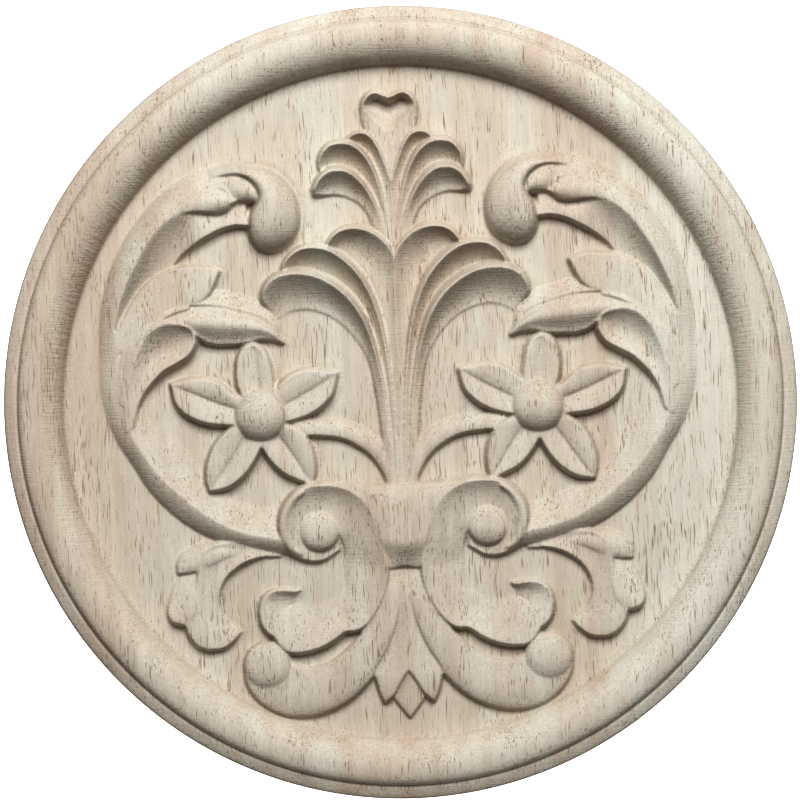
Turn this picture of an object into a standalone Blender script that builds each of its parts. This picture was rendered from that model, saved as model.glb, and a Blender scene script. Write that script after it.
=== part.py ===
"""Carved wooden rosette: a round plaque with a turned rim and a carved ground.

The rosette is one piece of solid wood. It is modelled lying on its flat back, with the carving
on top, and an empty turns it upright: the back is on the plane Y = 0, the carving faces -Y, and
the origin is the centre of the back. Each motif beside the axis has a mirrored twin.
Plan positions are (across, up) in millimetres from the centre. Rises are in millimetres above
the ground, the flat wood between the motifs.
"""

import math

import bmesh
import bpy
from mathutils import Vector

MM = 0.001

# Turned blank
RADIUS = 150.0
GROUND = 11.5
RIM_TURNS = 72
COVE_RADIUS = 124.5
WALL_RADIUS = 127.5
WALL_TOP_RADIUS = 130.5
WALL_TOP_RISE = 6.9
CREST_RADIUS = 138.5
CREST_RISE = 10.5
GROOVE_RADIUS = 144.8
GROOVE_RISE = 6.2
LIP_RISE = 6.9
EDGE_RISE = 3.4

# Every motif reaches this far into the blank, each a little further than the last
ROOT_DEPTH = 1.4
ROOT_STEP = 0.03

# Share of the triangles kept once the carving is joined
KEPT_TRIANGLES = 0.51

# Heights that several motifs share
RIDGE = 3.2
CLASP_RISE = 6.4
SCROLL_RISE = 6.8
BAND_RISE = 4.8

# Flower
FLOWER_CENTRE = (52.5, -2.7)
DOME_RADIUS = 9.8
DOME_RISE = 9.6
PETAL_RISE = 5.4
PETAL_CREASE = 1.8
PETAL_HALF_WIDTH = 8.5
TOP_PETAL_HALF_WIDTH = 6.2
PETAL_SWELL = (0.5, 0.8, 1.0, 0.94, 0.66, 0.06)
# Direction in degrees and reach in millimetres of each petal
PETALS = ((85.5, 27.0), (153.0, 34.0), (236.0, 32.5), (305.0, 34.0), (20.5, 34.5))

# Palmettes: the spine of each lobe above the root of its stalk, and the half width of its head
LOWER_ROOT = -37.0
LOWER_LOBES = (
    (0.8, ((1.9, 12.0), (5.6, 42.0), (13.0, 57.0), (21.5, 61.0)), 6.5),
    (2.4, ((4.3, 11.0), (11.8, 37.0), (23.0, 52.4), (37.0, 54.6)), 5.2),
    (4.2, ((7.1, 10.5), (16.0, 31.6), (29.0, 42.0), (43.0, 42.2)), 7.1),
)
UPPER_ROOT = 54.0
UPPER_LOBES = (
    (0.5, ((1.6, 77.0), (4.6, 91.0), (9.0, 98.6), (12.4, 100.4)), 3.6),
    (1.3, ((3.8, 76.0), (9.3, 88.8), (16.0, 93.8), (22.4, 93.2)), 4.8),
    (2.4, ((5.8, 72.5), (12.5, 81.2), (18.5, 84.0), (23.6, 82.6)), 5.2),
)
LOBE_SWELL = (0.18, 0.23, 0.32, 0.46, 0.67, 0.86, 0.97, 1.0)
ROUND_END = (25, 50, 70, 86)

# Volute, and the ball it winds round
VOLUTE_CENTRE = (32.5, -46.0)
VOLUTE_TURNS = 1.15
VOLUTE_START = 196.0
VOLUTE_REACH = 19.5
VOLUTE_CLOSE = 0.58
BALL_RADIUS = 8.2


def clear_scene():
    """Removes every object, so that the model starts from nothing."""
    for item in list(bpy.data.objects):
        bpy.data.objects.remove(item, do_unlink=True)


def new_collection(name):
    """A collection under the scene's own."""
    collection = bpy.data.collections.new(name)
    bpy.context.scene.collection.children.link(collection)
    return collection


def raw_timber():
    """Pale sanded hardwood with no finish on it."""
    material = bpy.data.materials.new("raw_hardwood")
    material.use_nodes = True
    shader = material.node_tree.nodes["Principled BSDF"]
    shader.inputs["Base Color"].default_value = (0.62, 0.51, 0.40, 1.0)
    shader.inputs["Roughness"].default_value = 0.72
    shader.inputs["Metallic"].default_value = 0.0
    return material


def curve_through(points, count):
    """count points along a smooth curve through the given ones (Catmull-Rom)."""
    known = [Vector(point) for point in points]
    ends = [2 * known[0] - known[1], *known, 2 * known[-1] - known[-2]]
    found = []
    for step in range(count):
        place = step * (len(known) - 1) / (count - 1)
        first = min(int(place), len(known) - 2)
        share = place - first
        a, b, c, d = ends[first : first + 4]
        found.append(
            0.5 * (2 * b + (c - a) * share + (2 * a - 5 * b + 4 * c - d) * share**2
                   + (3 * b - a - 3 * c + d) * share**3)
        )
    return found


def spread(values, share):
    """The value at a share of the way along a short list, straight between neighbours."""
    if not isinstance(values, tuple):
        return values
    place = share * (len(values) - 1)
    first = min(int(place), len(values) - 2)
    return values[first] + (values[first + 1] - values[first]) * (place - first)


def loft(name, rows, root):
    """A closed solid from rows of (across, up, rise) points, standing on a root inside the blank."""
    mesh = bmesh.new()
    floor = (GROUND - root) * MM
    top = [[mesh.verts.new((x * MM, y * MM, (GROUND + rise) * MM)) for x, y, rise in row] for row in rows]
    base = [[mesh.verts.new((x * MM, y * MM, floor)) for x, y, _ in (row[0], row[-1])] for row in rows]
    for row, after, foot, foot_after in zip(top, top[1:], base, base[1:]):
        for side in range(len(row) - 1):
            mesh.faces.new((row[side], after[side], after[side + 1], row[side + 1]))
        mesh.faces.new((row[0], foot[0], foot_after[0], after[0]))
        mesh.faces.new((row[-1], after[-1], foot_after[1], foot[1]))
        mesh.faces.new((foot[0], foot[1], foot_after[1], foot_after[0]))
    for row, foot in ((top[0], base[0]), (top[-1], base[-1])):
        mesh.faces.new((*row, foot[1], foot[0]))
    bmesh.ops.remove_doubles(mesh, verts=mesh.verts, dist=1e-5)
    bmesh.ops.triangulate(mesh, faces=mesh.faces)
    bmesh.ops.recalc_face_normals(mesh, faces=mesh.faces)
    data = bpy.data.meshes.new(name)
    mesh.to_mesh(data)
    mesh.free()
    return bpy.data.objects.new(name, data)


class Carving:
    """Collects the motifs, each with a root a little deeper than the last so that no two are level."""

    def __init__(self, collection):
        self.collection = collection
        self.motifs = []

    def root(self):
        return ROOT_DEPTH + ROOT_STEP * len(self.motifs)

    def keep(self, motif, twin=True):
        """Adds a motif and, unless it is on the axis, its mirrored twin."""
        pair = [motif]
        if twin:
            pair.append(bpy.data.objects.new(f"{motif.name}_twin", motif.data))
            pair[1].scale.x = -1
        for item in pair:
            self.collection.objects.link(item)
            item.hide_render = True
            item.display_type = "WIRE"
            self.motifs.append(item)

    def leaf(self, name, inner, outer, rise_inner, rise_outer, crown, stations=10, across=3):
        """A motif between two smooth edges, each given by a few points."""
        edges = (curve_through(inner, stations), curve_through(outer, stations))
        self.sheet(name, *edges, rise_inner, rise_outer, crown, across)

    def sheet(self, name, inner, outer, rise_inner, rise_outer, crown, across):
        """The surface between two edges; crown lifts its middle, or hollows it where it is negative."""
        rows = []
        for step, (a, b) in enumerate(zip(inner, outer)):
            along = step / (len(inner) - 1)
            row = []
            for place in range(across):
                share = place / (across - 1)
                point = a.lerp(b, share)
                rise = spread(rise_inner, along) * (1 - share) + spread(rise_outer, along) * share
                rise += spread(crown, along) * 4 * share * (1 - share)
                row.append((point.x, point.y, rise))
            rows.append(row)
        self.keep(loft(name, rows, self.root()))

    def axial(self, name, edge, rise_edge, rise_axis, stations=9):
        """A motif on the axis: its right edge is given, and the left one mirrors it."""
        rows = []
        for step, point in enumerate(curve_through(edge, stations)):
            along = step / (stations - 1)
            side, middle = spread(rise_edge, along), spread(rise_axis, along)
            half = (0.25 * side + 0.75 * middle) if abs(side - middle) > 0.5 else middle
            shares = ((-1, side), (-0.5, half), (0, middle), (0.5, half), (1, side))
            rows.append([(point.x * share, point.y, rise) for share, rise in shares])
        self.keep(loft(name, rows, self.root()), twin=False)

    def strand(
        self, name, spine, half_width, rise_left, rise_right, crown, stations=12, across=3,
        round_end=False
    ):
        """A motif of a given half width on both sides of a spine, with a square or a round end."""
        line = curve_through(spine, stations)
        left, right = [], []
        for step, point in enumerate(line):
            before, after = line[max(step - 1, 0)], line[min(step + 1, stations - 1)]
            way = (after - before).normalized()
            side = Vector((-way.y, way.x)) * spread(half_width, step / (stations - 1))
            left.append(point + side)
            right.append(point - side)
        for turn in ROUND_END if round_end else ():
            angle = math.radians(turn)
            end = line[-1] + way * side.length * math.sin(angle)
            left.append(end + side * math.cos(angle))
            right.append(end - side * math.cos(angle))
        self.sheet(name, left, right, rise_left, rise_right, crown, across)

    def dome(self, name, centre, radius, rise, segments=16, rings=8):
        """A ball sunk in the ground, with its top at the given rise."""
        mesh = bmesh.new()
        bmesh.ops.create_uvsphere(mesh, u_segments=segments, v_segments=rings, radius=1.0)
        height = rise + self.root()
        for vert in mesh.verts:
            low = (GROUND - self.root()) * MM
            vert.co = (
                (centre[0] + radius * vert.co.x) * MM,
                (centre[1] + radius * vert.co.y) * MM,
                low + height * MM * vert.co.z if vert.co.z > 0 else low + ROOT_DEPTH * MM * vert.co.z,
            )
        data = bpy.data.meshes.new(name)
        mesh.to_mesh(data)
        mesh.free()
        self.keep(bpy.data.objects.new(name, data))


def rim_profile():
    """The turned outline, from the centre of the face over the rim to the centre of the back."""
    points = [(0.0, 0.0), (COVE_RADIUS, 0.0), (WALL_RADIUS, 1.4), (WALL_TOP_RADIUS, WALL_TOP_RISE)]
    for turn in (30, 60, 90):
        angle = math.radians(turn)
        points.append(
            (
                CREST_RADIUS - (CREST_RADIUS - WALL_TOP_RADIUS) * math.cos(angle),
                WALL_TOP_RISE + (CREST_RISE - WALL_TOP_RISE) * math.sin(angle),
            )
        )
    for turn in (36, 66):
        angle = math.radians(turn)
        points.append(
            (
                CREST_RADIUS + (GROOVE_RADIUS - CREST_RADIUS) * math.sin(angle),
                CREST_RISE - (CREST_RISE - GROOVE_RISE) * (1 - math.cos(angle)),
            )
        )
    points += [(GROOVE_RADIUS, GROOVE_RISE), (GROOVE_RADIUS + 0.5, LIP_RISE), (RADIUS - 0.6, EDGE_RISE + 0.9)]
    points += [(RADIUS, EDGE_RISE), (RADIUS, 1.0 - GROUND), (RADIUS - 1.0, -GROUND), (0.0, -GROUND)]
    return points


def turned_blank(collection):
    """The disc with its turned rim, spun from half its section."""
    profile = [(radius * MM, 0.0, (GROUND + rise) * MM) for radius, rise in rim_profile()]
    data = bpy.data.meshes.new("carved_rosette")
    data.from_pydata(profile, [(i, i + 1) for i in range(len(profile) - 1)], [])
    blank = bpy.data.objects.new("carved_rosette", data)
    collection.objects.link(blank)
    rim = blank.vertex_groups.new(name="rim")
    rim.add(range(1, len(profile)), 1.0, "REPLACE")
    screw = blank.modifiers.new("turning", "SCREW")
    screw.axis = "Z"
    screw.steps = RIM_TURNS
    screw.render_steps = RIM_TURNS
    screw.use_merge_vertices = True
    screw.merge_threshold = 0.00005
    return blank


def palmette(carving, name, foot, lobes, depth):
    """Hollowed lobes with raised lips that fan out of one bundle of stalks."""
    for number, (root, rest, half) in enumerate(lobes, 1):
        carving.strand(
            f"{name}_lobe_{number}", [(root, foot), *rest], tuple(half * share for share in LOBE_SWELL),
            RIDGE, RIDGE - 0.2 * (number == 3),
            (-0.3, -0.5, -0.3 * depth, -0.6 * depth, -depth, -depth, -depth, -0.8 * depth),
            stations=11, across=4, round_end=True,
        )


def finial(carving):
    """The hollowed heart at the top, in two lobes that meet on the axis."""
    carving.axial(
        "finial_heart", [(0.6, 86), (4.2, 97), (8.6, 103.5), (9.8, 110)], (2.2, 1.9, 1.7, 1.6),
        (2.0, 1.4, 0.7, 0.5), stations=6,
    )
    carving.leaf(
        "finial_lobe", [(-0.2, 106), (-0.2, 111), (-0.2, 115)],
        [(10.2, 107.5), (9.4, 113.4), (4.4, 117.2), (0.6, 115.6)],
        (0.5, 0.6, 1.5), (1.5, 1.7, 1.8), -0.5, stations=7,
    )


def flower(carving):
    """Five creased petals round a dome, on a stem from the bundle of stalks."""
    carving.strand(
        "flower_stem", [(4, -27), (9, -17.5), (16, -11.8), (27, -8.4), (42, -7.2)],
        (2.6, 3.4, 3.6), (2.4, 1.2, 1.2), (2.8, 3.2, 3.4), 0.8, stations=9,
    )
    centre = Vector(FLOWER_CENTRE)
    for number, (heading, reach) in enumerate(PETALS, 1):
        half = TOP_PETAL_HALF_WIDTH if number == 1 else PETAL_HALF_WIDTH
        way = Vector((math.cos(math.radians(heading)), math.sin(math.radians(heading))))
        spine = [centre + way * (0.12 + 0.88 * share) * reach for share in (0, 0.25, 0.5, 0.75, 1)]
        carving.strand(
            f"petal_{number}", spine, tuple(half * share for share in PETAL_SWELL),
            PETAL_RISE, PETAL_RISE, -PETAL_CREASE, stations=8, across=3,
        )
    carving.dome("flower_dome", FLOWER_CENTRE, DOME_RADIUS, DOME_RISE)


def scroll(carving):
    """The big C: a band that swells from the ground, a hollow channel and a ball at its upper end."""
    crest = [(106, 25), (105, 4), (97, -16.5), (82, -34), (62, -46.5), (42, -50.5)]
    foot = [(112.8, 25), (111.6, -1), (102.4, -18.5), (86, -39.5), (64, -51.6), (42, -56)]
    inner = [(90, 16), (87.5, -4), (80, -16), (66, -32), (54, -37.5), (42, -39)]
    carving.leaf("scroll_band", inner, crest, -0.2, (3.4, 4.4, BAND_RISE), 0.2, stations=12)
    carving.leaf(
        "scroll_slope", [(x - 1.2, y + 0.4) for x, y in crest], foot, (3.4, 4.4, BAND_RISE),
        (0.1, 0.5, 0.9), 0.5, stations=12,
    )
    edge = [(60, 79.2), (66, 74.6), (78, 75.4), (90, 68.5), (99, 55), (105, 39), (106.4, 20)]
    brow = [(56, 93.4), (67, 92.8), (80, 88), (94, 76.5), (105.5, 59.5), (112, 40), (112.9, 20)]
    carving.leaf(
        "scroll_brow", edge, brow, (6.2, SCROLL_RISE, SCROLL_RISE, 6.4, 5.0, 3.5), 0.1,
        (1.3, 1.3, 1.0, 0.5), stations=14, across=4,
    )
    bottom = [(54, 69.6), (65, 68.5), (76, 62), (85, 53), (95, 44), (106, 31)]
    top = [(54, 78), (66, 75.2), (80, 76), (92, 68.4), (100, 54.6), (106.4, 32)]
    carving.leaf(
        "scroll_channel", bottom, top, (4.4, 4.8, 4.6, 3.6), (2.6, 4.2, 4.4, 3.4), (-1.0, -1.8, -2.0, -0.4),
        stations=12, across=4,
    )
    carving.leaf(
        "scroll_ball",
        [(63, 88.4), (54, 85.6), (50.8, 80.5), (54, 75), (55.4, 70), (55.3, 65.4)],
        [(63, 93), (46.5, 89.6), (36.4, 79), (37.2, 66), (46.6, 58.7), (55, 64.2)],
        (6.4, 6.0, 5.8, 5.0, 3.6, 1.8), (0.2, 0.9, 1.2), (2.2, 4.2, 6.0, 6.0, 4.0, 0.8), stations=16,
        across=6,
    )
    carving.leaf(
        "scroll_curl_1", [(50.4, 80.6), (54.4, 86.8), (63.6, 88.8), (70, 85.6)],
        [(50.8, 79.6), (55, 79.2), (62, 80), (69, 82.6)],
        (4.4, 5.8, 6.6), (4.0, 4.6, 6.2), (0.4, 1.6, 0.9), stations=9, across=4,
    )
    carving.leaf(
        "scroll_curl_2", [(60.2, 78.8), (64, 83.2), (72, 84.4), (80, 82)],
        [(60.5, 78), (65.4, 75), (73, 75.2), (81, 75.8)],
        (4.4, 5.8, 7.0), (4.0, 5.2, 6.6), (0.4, 1.8, 1.0), stations=9, across=4,
    )


def acanthus(carving):
    """The leaf that grows out of the C towards the flower: a sheet, a roll and a spoon."""
    carving.leaf(
        "leaf_sheet", [(70, 43), (80, 39), (93, 32), (106, 18)],
        [(67, 52.2), (74, 55.2), (87, 52), (107, 31)],
        (3.8, 4.8, 5.0, 3.6), (3.4, 4.2, 4.6, 3.4), 0.3, stations=8,
    )
    carving.leaf(
        "leaf_slope", [(45, 28.4), (53, 35), (65, 38.6), (80, 38.6)],
        [(44.3, 29), (49.5, 40), (62, 44.6), (77, 44)],
        (2.2, 3.4, 4.4, 4.8), (0.1, 0.1, 0.2, 3.6), -0.2, stations=8,
    )
    carving.leaf(
        "leaf_roll", [(43.1, 24.6), (52.5, 26.2), (62.5, 24.7), (71.5, 25.7), (83, 32)],
        [(43.3, 25.2), (52, 34.4), (64.5, 38.5), (77, 39), (90, 33.5)],
        (2.2, 3.6, 4.0, 4.4, 6.4), (2.0, 2.8, 3.6, 4.2, 5.0), (0.4, 2.6, 3.6, 3.2, 0.8), stations=12,
        across=5,
    )
    carving.leaf(
        "leaf_spoon", [(77.6, 30), (76.3, 25.6), (80, 20.4), (89, 15), (96.5, 7.2), (100.2, -5)],
        [(78, 31), (84, 33), (93, 30.4), (101, 21), (104.6, 8), (103.6, -7)],
        (6.0, 5.6, 5.4, 5.4, 5.0, 4.5), (6.4, 6.8, 6.4, 5.4, 4.8, 4.5),
        (0.0, -1.2, -1.8, -1.0, -0.4, 0.0), stations=13, across=5,
    )
    carving.leaf(
        "leaf_back", [(79, 37), (90, 29), (98, 18), (101, 4)], [(82, 40.5), (95, 36), (107, 22), (106, 4)],
        (5.0, 5.8, 5.2, 4.6), (4.8, 4.6, 3.5, 4.2), 0.0, stations=8,
    )


def clasp(carving):
    """The waisted band that holds the stalks together."""
    top = CLASP_RISE
    carving.axial(
        "clasp", [(22, -30.6), (16.4, -35), (12, -40.4), (9.6, -47), (8.2, -54), (6.6, -61.6)],
        (4.9, top - 0.8, top - 0.4, top - 0.4, top - 0.9, 4.2),
        (4.8, top - 0.2, top + 0.2, top + 0.1, top - 0.1, 4.4), stations=9,
    )


def volute_edge(start_reach, end_reach, count):
    """Points on a spiral that closes in clockwise on the volute's centre."""
    points = []
    for step in range(count):
        share = step / (count - 1)
        angle = math.radians(VOLUTE_START - 360 * VOLUTE_TURNS * 0.78 * share)
        reach = start_reach + (end_reach - start_reach) * share
        points.append((VOLUTE_CENTRE[0] + reach * math.cos(angle), VOLUTE_CENTRE[1] + reach * math.sin(angle)))
    return points


def volute(carving):
    """The small scroll beside the clasp: a hollow band wound round a ball."""
    outer = [(7.2, -61), (9.2, -50), *volute_edge(VOLUTE_REACH + 1.0, VOLUTE_REACH * VOLUTE_CLOSE, 9)[1:]]
    inner = [(23, -61), (23.6, -52), *volute_edge(BALL_RADIUS, BALL_RADIUS * 0.9, 9)[1:]]
    carving.leaf(
        "volute_band", inner, outer, (4.3, 4.6, 4.6, 4.6), (5.0, 6.2, 6.0, 5.2), (-0.2, -1.6, -1.6, -0.6),
        stations=18, across=4,
    )
    carving.dome("volute_ball", (VOLUTE_CENTRE[0] - 0.4, VOLUTE_CENTRE[1] - 1.0), BALL_RADIUS, 6.4)


def s_leaf(carving):
    """The leaf below the volute, which rises from the ground to a bold lower edge."""
    carving.leaf(
        "s_leaf", [(23, -56), (23, -65), (31, -72.2), (41, -75), (48.5, -79), (51.6, -85)],
        [(6.2, -60), (8.6, -72), (14, -81.4), (20, -85.2), (27, -88), (34, -91.8), (43, -93.2), (49.6, -90), (52, -86.4)],
        (4.8, 2.0, 0.8, 1.2, 2.8, 4.4), (5.2, 5.4, 5.8, 6.2, 6.0, 5.0), (0.5, 1.0, 0.9, 0.2), stations=15,
        across=4,
    )
    carving.leaf(
        "s_leaf_curl", [(40.6, -71), (46, -76), (49.4, -82), (51, -86.4)],
        [(40, -69.3), (46.5, -67.8), (53, -70.6), (56.2, -77), (52.6, -86.2)],
        (1.2, 2.0, 3.6, 4.6), (2.2, 3.6, 4.0, 4.4), (0, -1.0, -0.6, 0), stations=10,
    )


def lobed_leaf(carving):
    """The outer leaf under the C: a bent sheet with three round lobes."""
    carving.leaf(
        "lobed_leaf_sheet", [(52, -55.8), (64, -59.8), (70.6, -68.5), (70.6, -78), (65, -82.6)],
        [(56, -53.6), (71, -56), (78.4, -67), (80, -78), (72, -83)],
        (1.8, 3.6, 3.2, 1.2, 0.8), (2.2, 3.4, 4.0, 4.0, 3.2), (0, -0.8, -0.9, -0.2), stations=10,
    )
    lobes = (
        (
            [(60, -56), (71, -59.5), (80, -62)],
            [(66, -51.2), (75, -50.2), (83, -53), (86.6, -58), (85.4, -62)], (2.4, 3.8, 3.8),
            (1.2, 3.2, 3.6), 0.8,
        ),
        (
            [(74, -60), (77.5, -70), (81, -81)],
            [(85, -61.4), (89.8, -67), (90.4, -74.6), (87.4, -80), (83, -81.8)], (3.8, 4.2, 4.2),
            (2.8, 3.8, 4.2), -0.4,
        ),
        (
            [(63, -83.6), (70, -80), (83, -79)],
            [(63.2, -84.8), (68, -89.6), (75, -91), (81.4, -88), (83.8, -82)], (2.2, 3.6, 4.2),
            (2.2, 4.2, 4.2), 1.0,
        ),
    )
    for number, (inner, outer, rise_inner, rise_outer, crown) in enumerate(lobes, 1):
        carving.leaf(
            f"lobed_leaf_{number}", inner, outer, rise_inner, rise_outer, crown, stations=9, across=4,
        )


def bottom_curl(carving):
    """The band that leaves the clasp downwards and curls up to a ball."""
    carving.leaf(
        "bottom_curl", [(6.4, -60), (11.5, -78), (22, -91.5), (34, -97.4), (43, -96.6), (47, -94), (50, -92)],
        [(0.8, -62), (5.6, -87), (16.5, -107), (34.5, -117.4), (52, -115), (61, -103), (58, -91)],
        (3.8, 3.4, 3.0, 2.8, 2.6), (3.4, 2.8, 2.0, 1.4, 0.9, 0.9), (0.6, 1.6, 2.0, 2.2, 1.6), stations=15,
        across=5,
    )
    carving.dome("bottom_ball", (52.3, -97.3), 8.8, 5.8)


def bud(carving):
    """The hanging bud: two side petals and a tip between them."""
    carving.axial(
        "bud_neck", [(1.6, -58), (3.4, -77), (7.0, -89.5), (10.4, -98)], (3.4, 3.1, 3.0, 3.0),
        (3.7, 3.6, 3.5, 3.4), stations=7,
    )
    carving.leaf(
        "bud_side", [(-0.2, -95), (0.2, -102), (2.6, -107), (5.6, -111), (9.0, -114.2)],
        [(9.2, -95), (12, -101.6), (12.6, -106), (11.6, -110.4), (9.7, -114)], (3.3, 3.4, 3.2), 3.0,
        (0.5, 0.6, 0.1), stations=8, across=3,
    )
    carving.axial("bud_tip", [(2, -100), (3.6, -106.4), (5.7, -112), (0.3, -119.3)], 1.4, 1.8, stations=6)


def unite(blank, motifs):
    """Joins every motif to the blank in one solid."""
    union = blank.modifiers.new("carving", "BOOLEAN")
    union.operation = "UNION"
    union.solver = "EXACT"
    union.operand_type = "COLLECTION"
    union.collection = motifs
    lighter = blank.modifiers.new("lighter", "DECIMATE")
    lighter.ratio = KEPT_TRIANGLES
    lighter.vertex_group = "rim"
    lighter.invert_vertex_group = True


def main():
    clear_scene()
    rosette = new_collection("carved_rosette_parts")
    motifs = new_collection("carved_motifs")
    wall = bpy.data.objects.new("wall_side", None)
    wall.rotation_euler = (math.radians(90), 0, 0)
    rosette.objects.link(wall)
    blank = turned_blank(rosette)
    carving = Carving(motifs)
    scroll(carving)
    acanthus(carving)
    palmette(carving, "lower", LOWER_ROOT, LOWER_LOBES, 2.6)
    palmette(carving, "upper", UPPER_ROOT, UPPER_LOBES, 2.2)
    finial(carving)
    flower(carving)
    volute(carving)
    s_leaf(carving)
    lobed_leaf(carving)
    bottom_curl(carving)
    bud(carving)
    clasp(carving)
    unite(blank, motifs)
    for item in (blank, *carving.motifs):
        item.parent = wall
    blank.data.materials.append(raw_timber())


main()
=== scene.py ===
"""Looks of the carved wooden rosette: its relief, its bare timber, a soft studio and the camera.

The plaque is one piece of solid wood. Its front is worked out as a height over the ground, the
flat wood between the motifs, on a grid of the right half, because the carving is the same on both
sides. A tapered ball-nosed cutter then runs over the grid, and the disc is meshed from it.
Plan positions are (across, up) and heights are above the ground, both in millimetres.
"""

import logging
import math
from dataclasses import dataclass
from enum import Enum

import bpy
import numpy as np
from mathutils import Matrix, Vector


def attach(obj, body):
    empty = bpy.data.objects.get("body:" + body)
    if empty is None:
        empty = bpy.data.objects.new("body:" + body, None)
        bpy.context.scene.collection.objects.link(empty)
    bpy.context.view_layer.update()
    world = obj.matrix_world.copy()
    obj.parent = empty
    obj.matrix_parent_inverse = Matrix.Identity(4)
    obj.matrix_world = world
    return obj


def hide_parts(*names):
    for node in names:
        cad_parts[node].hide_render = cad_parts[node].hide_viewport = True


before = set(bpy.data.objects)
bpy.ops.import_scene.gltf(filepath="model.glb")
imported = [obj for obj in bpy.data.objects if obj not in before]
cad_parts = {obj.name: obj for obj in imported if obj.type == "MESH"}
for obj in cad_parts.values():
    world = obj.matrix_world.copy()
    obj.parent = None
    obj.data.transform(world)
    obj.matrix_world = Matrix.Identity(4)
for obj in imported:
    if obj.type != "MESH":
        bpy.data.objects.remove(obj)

MM = 0.001
NODE = "carved_rosette"

# Sizes of the turned blank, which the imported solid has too
RADIUS = 150.0
GROUND = 11.5
BACK_CHAMFER = 1.0

# The relief grid: its spacing, how far it runs past the axis, and its reach
GRID_STEP = 0.25
GRID_LEFT = -12.0
GRID_REACH = 152.0

# Inside the cove only the carving counts, outside the rim's start only the turning
COVE_START = 121.0
RIM_START = 127.5

# Places along an edge or a spine for a first measure, and the spacing of laid places in grid steps
EDGE_PLACES = 40
SPINE_PLACES = 60
LAID_SPACING = 0.45

# How far the carving sits from the middle of the blank
CARVING_ASIDE = -0.55
CARVING_UP = -0.55

Point = tuple[float, float]
Path = list[Point]
Law = float | list[float]
Socket = bpy.types.NodeSocket

log = logging.getLogger("rosette")


class Section(Enum):
    """How a motif's surface runs from one edge to the other."""

    ARCH = "arch"
    ROUND = "round"
    HOLLOW = "hollow"
    SCOOP = "scoop"
    SWELL = "swell"


class Laying(Enum):
    """Whether a motif is raised over what is there, or cut into its place."""

    RAISE = "raise"
    CUT = "cut"


def smooth_path(points: Path | np.ndarray, count: int) -> np.ndarray:
    """Runs a Catmull-Rom curve through a few points.

    Args:
        points: The points that the curve passes through.
        count: How many places along it are wanted, the ends included.

    Returns:
        The places, one row each.
    """
    known = np.asarray(points, float)
    if known.ndim == 1:
        known = known[:, None]
    ends = np.vstack([2 * known[0] - known[1], known, 2 * known[-1] - known[-2]])
    place = np.linspace(0, len(known) - 1, count)
    first = np.minimum(place.astype(int), len(known) - 2)
    share = (place - first)[:, None]
    a, b, c, d = (ends[first + step] for step in range(4))
    return 0.5 * (
        2 * b
        + (c - a) * share
        + (2 * a - 5 * b + 4 * c - d) * share**2
        + (3 * b - a - 3 * c + d) * share**3
    )


def run_of(law: Law, count: int) -> np.ndarray:
    """Gives a height law at evenly spaced places.

    Args:
        law: One height, or a few that follow each other along the motif.
        count: How many places are wanted.

    Returns:
        The heights in one column.
    """
    if isinstance(law, list):
        return smooth_path(law, count)
    return np.full((count, 1), float(law))


def across_shape(share: np.ndarray, section: Section) -> np.ndarray:
    """Gives a section's rise, 0 at both edges and 1 or -1 in the middle.

    Args:
        share: Places from one edge, 0, to the other, 1.
        section: The kind of section.

    Returns:
        The rise at each place.
    """
    if section is Section.ROUND:
        return np.sqrt(np.clip(1 - (2 * share - 1) ** 2, 0, 1))
    if section is Section.HOLLOW:
        return -4 * share * (1 - share)
    if section is Section.SWELL:
        return 0.5 - 0.5 * np.cos(2 * math.pi * share)
    return 4 * share * (1 - share)


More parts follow.
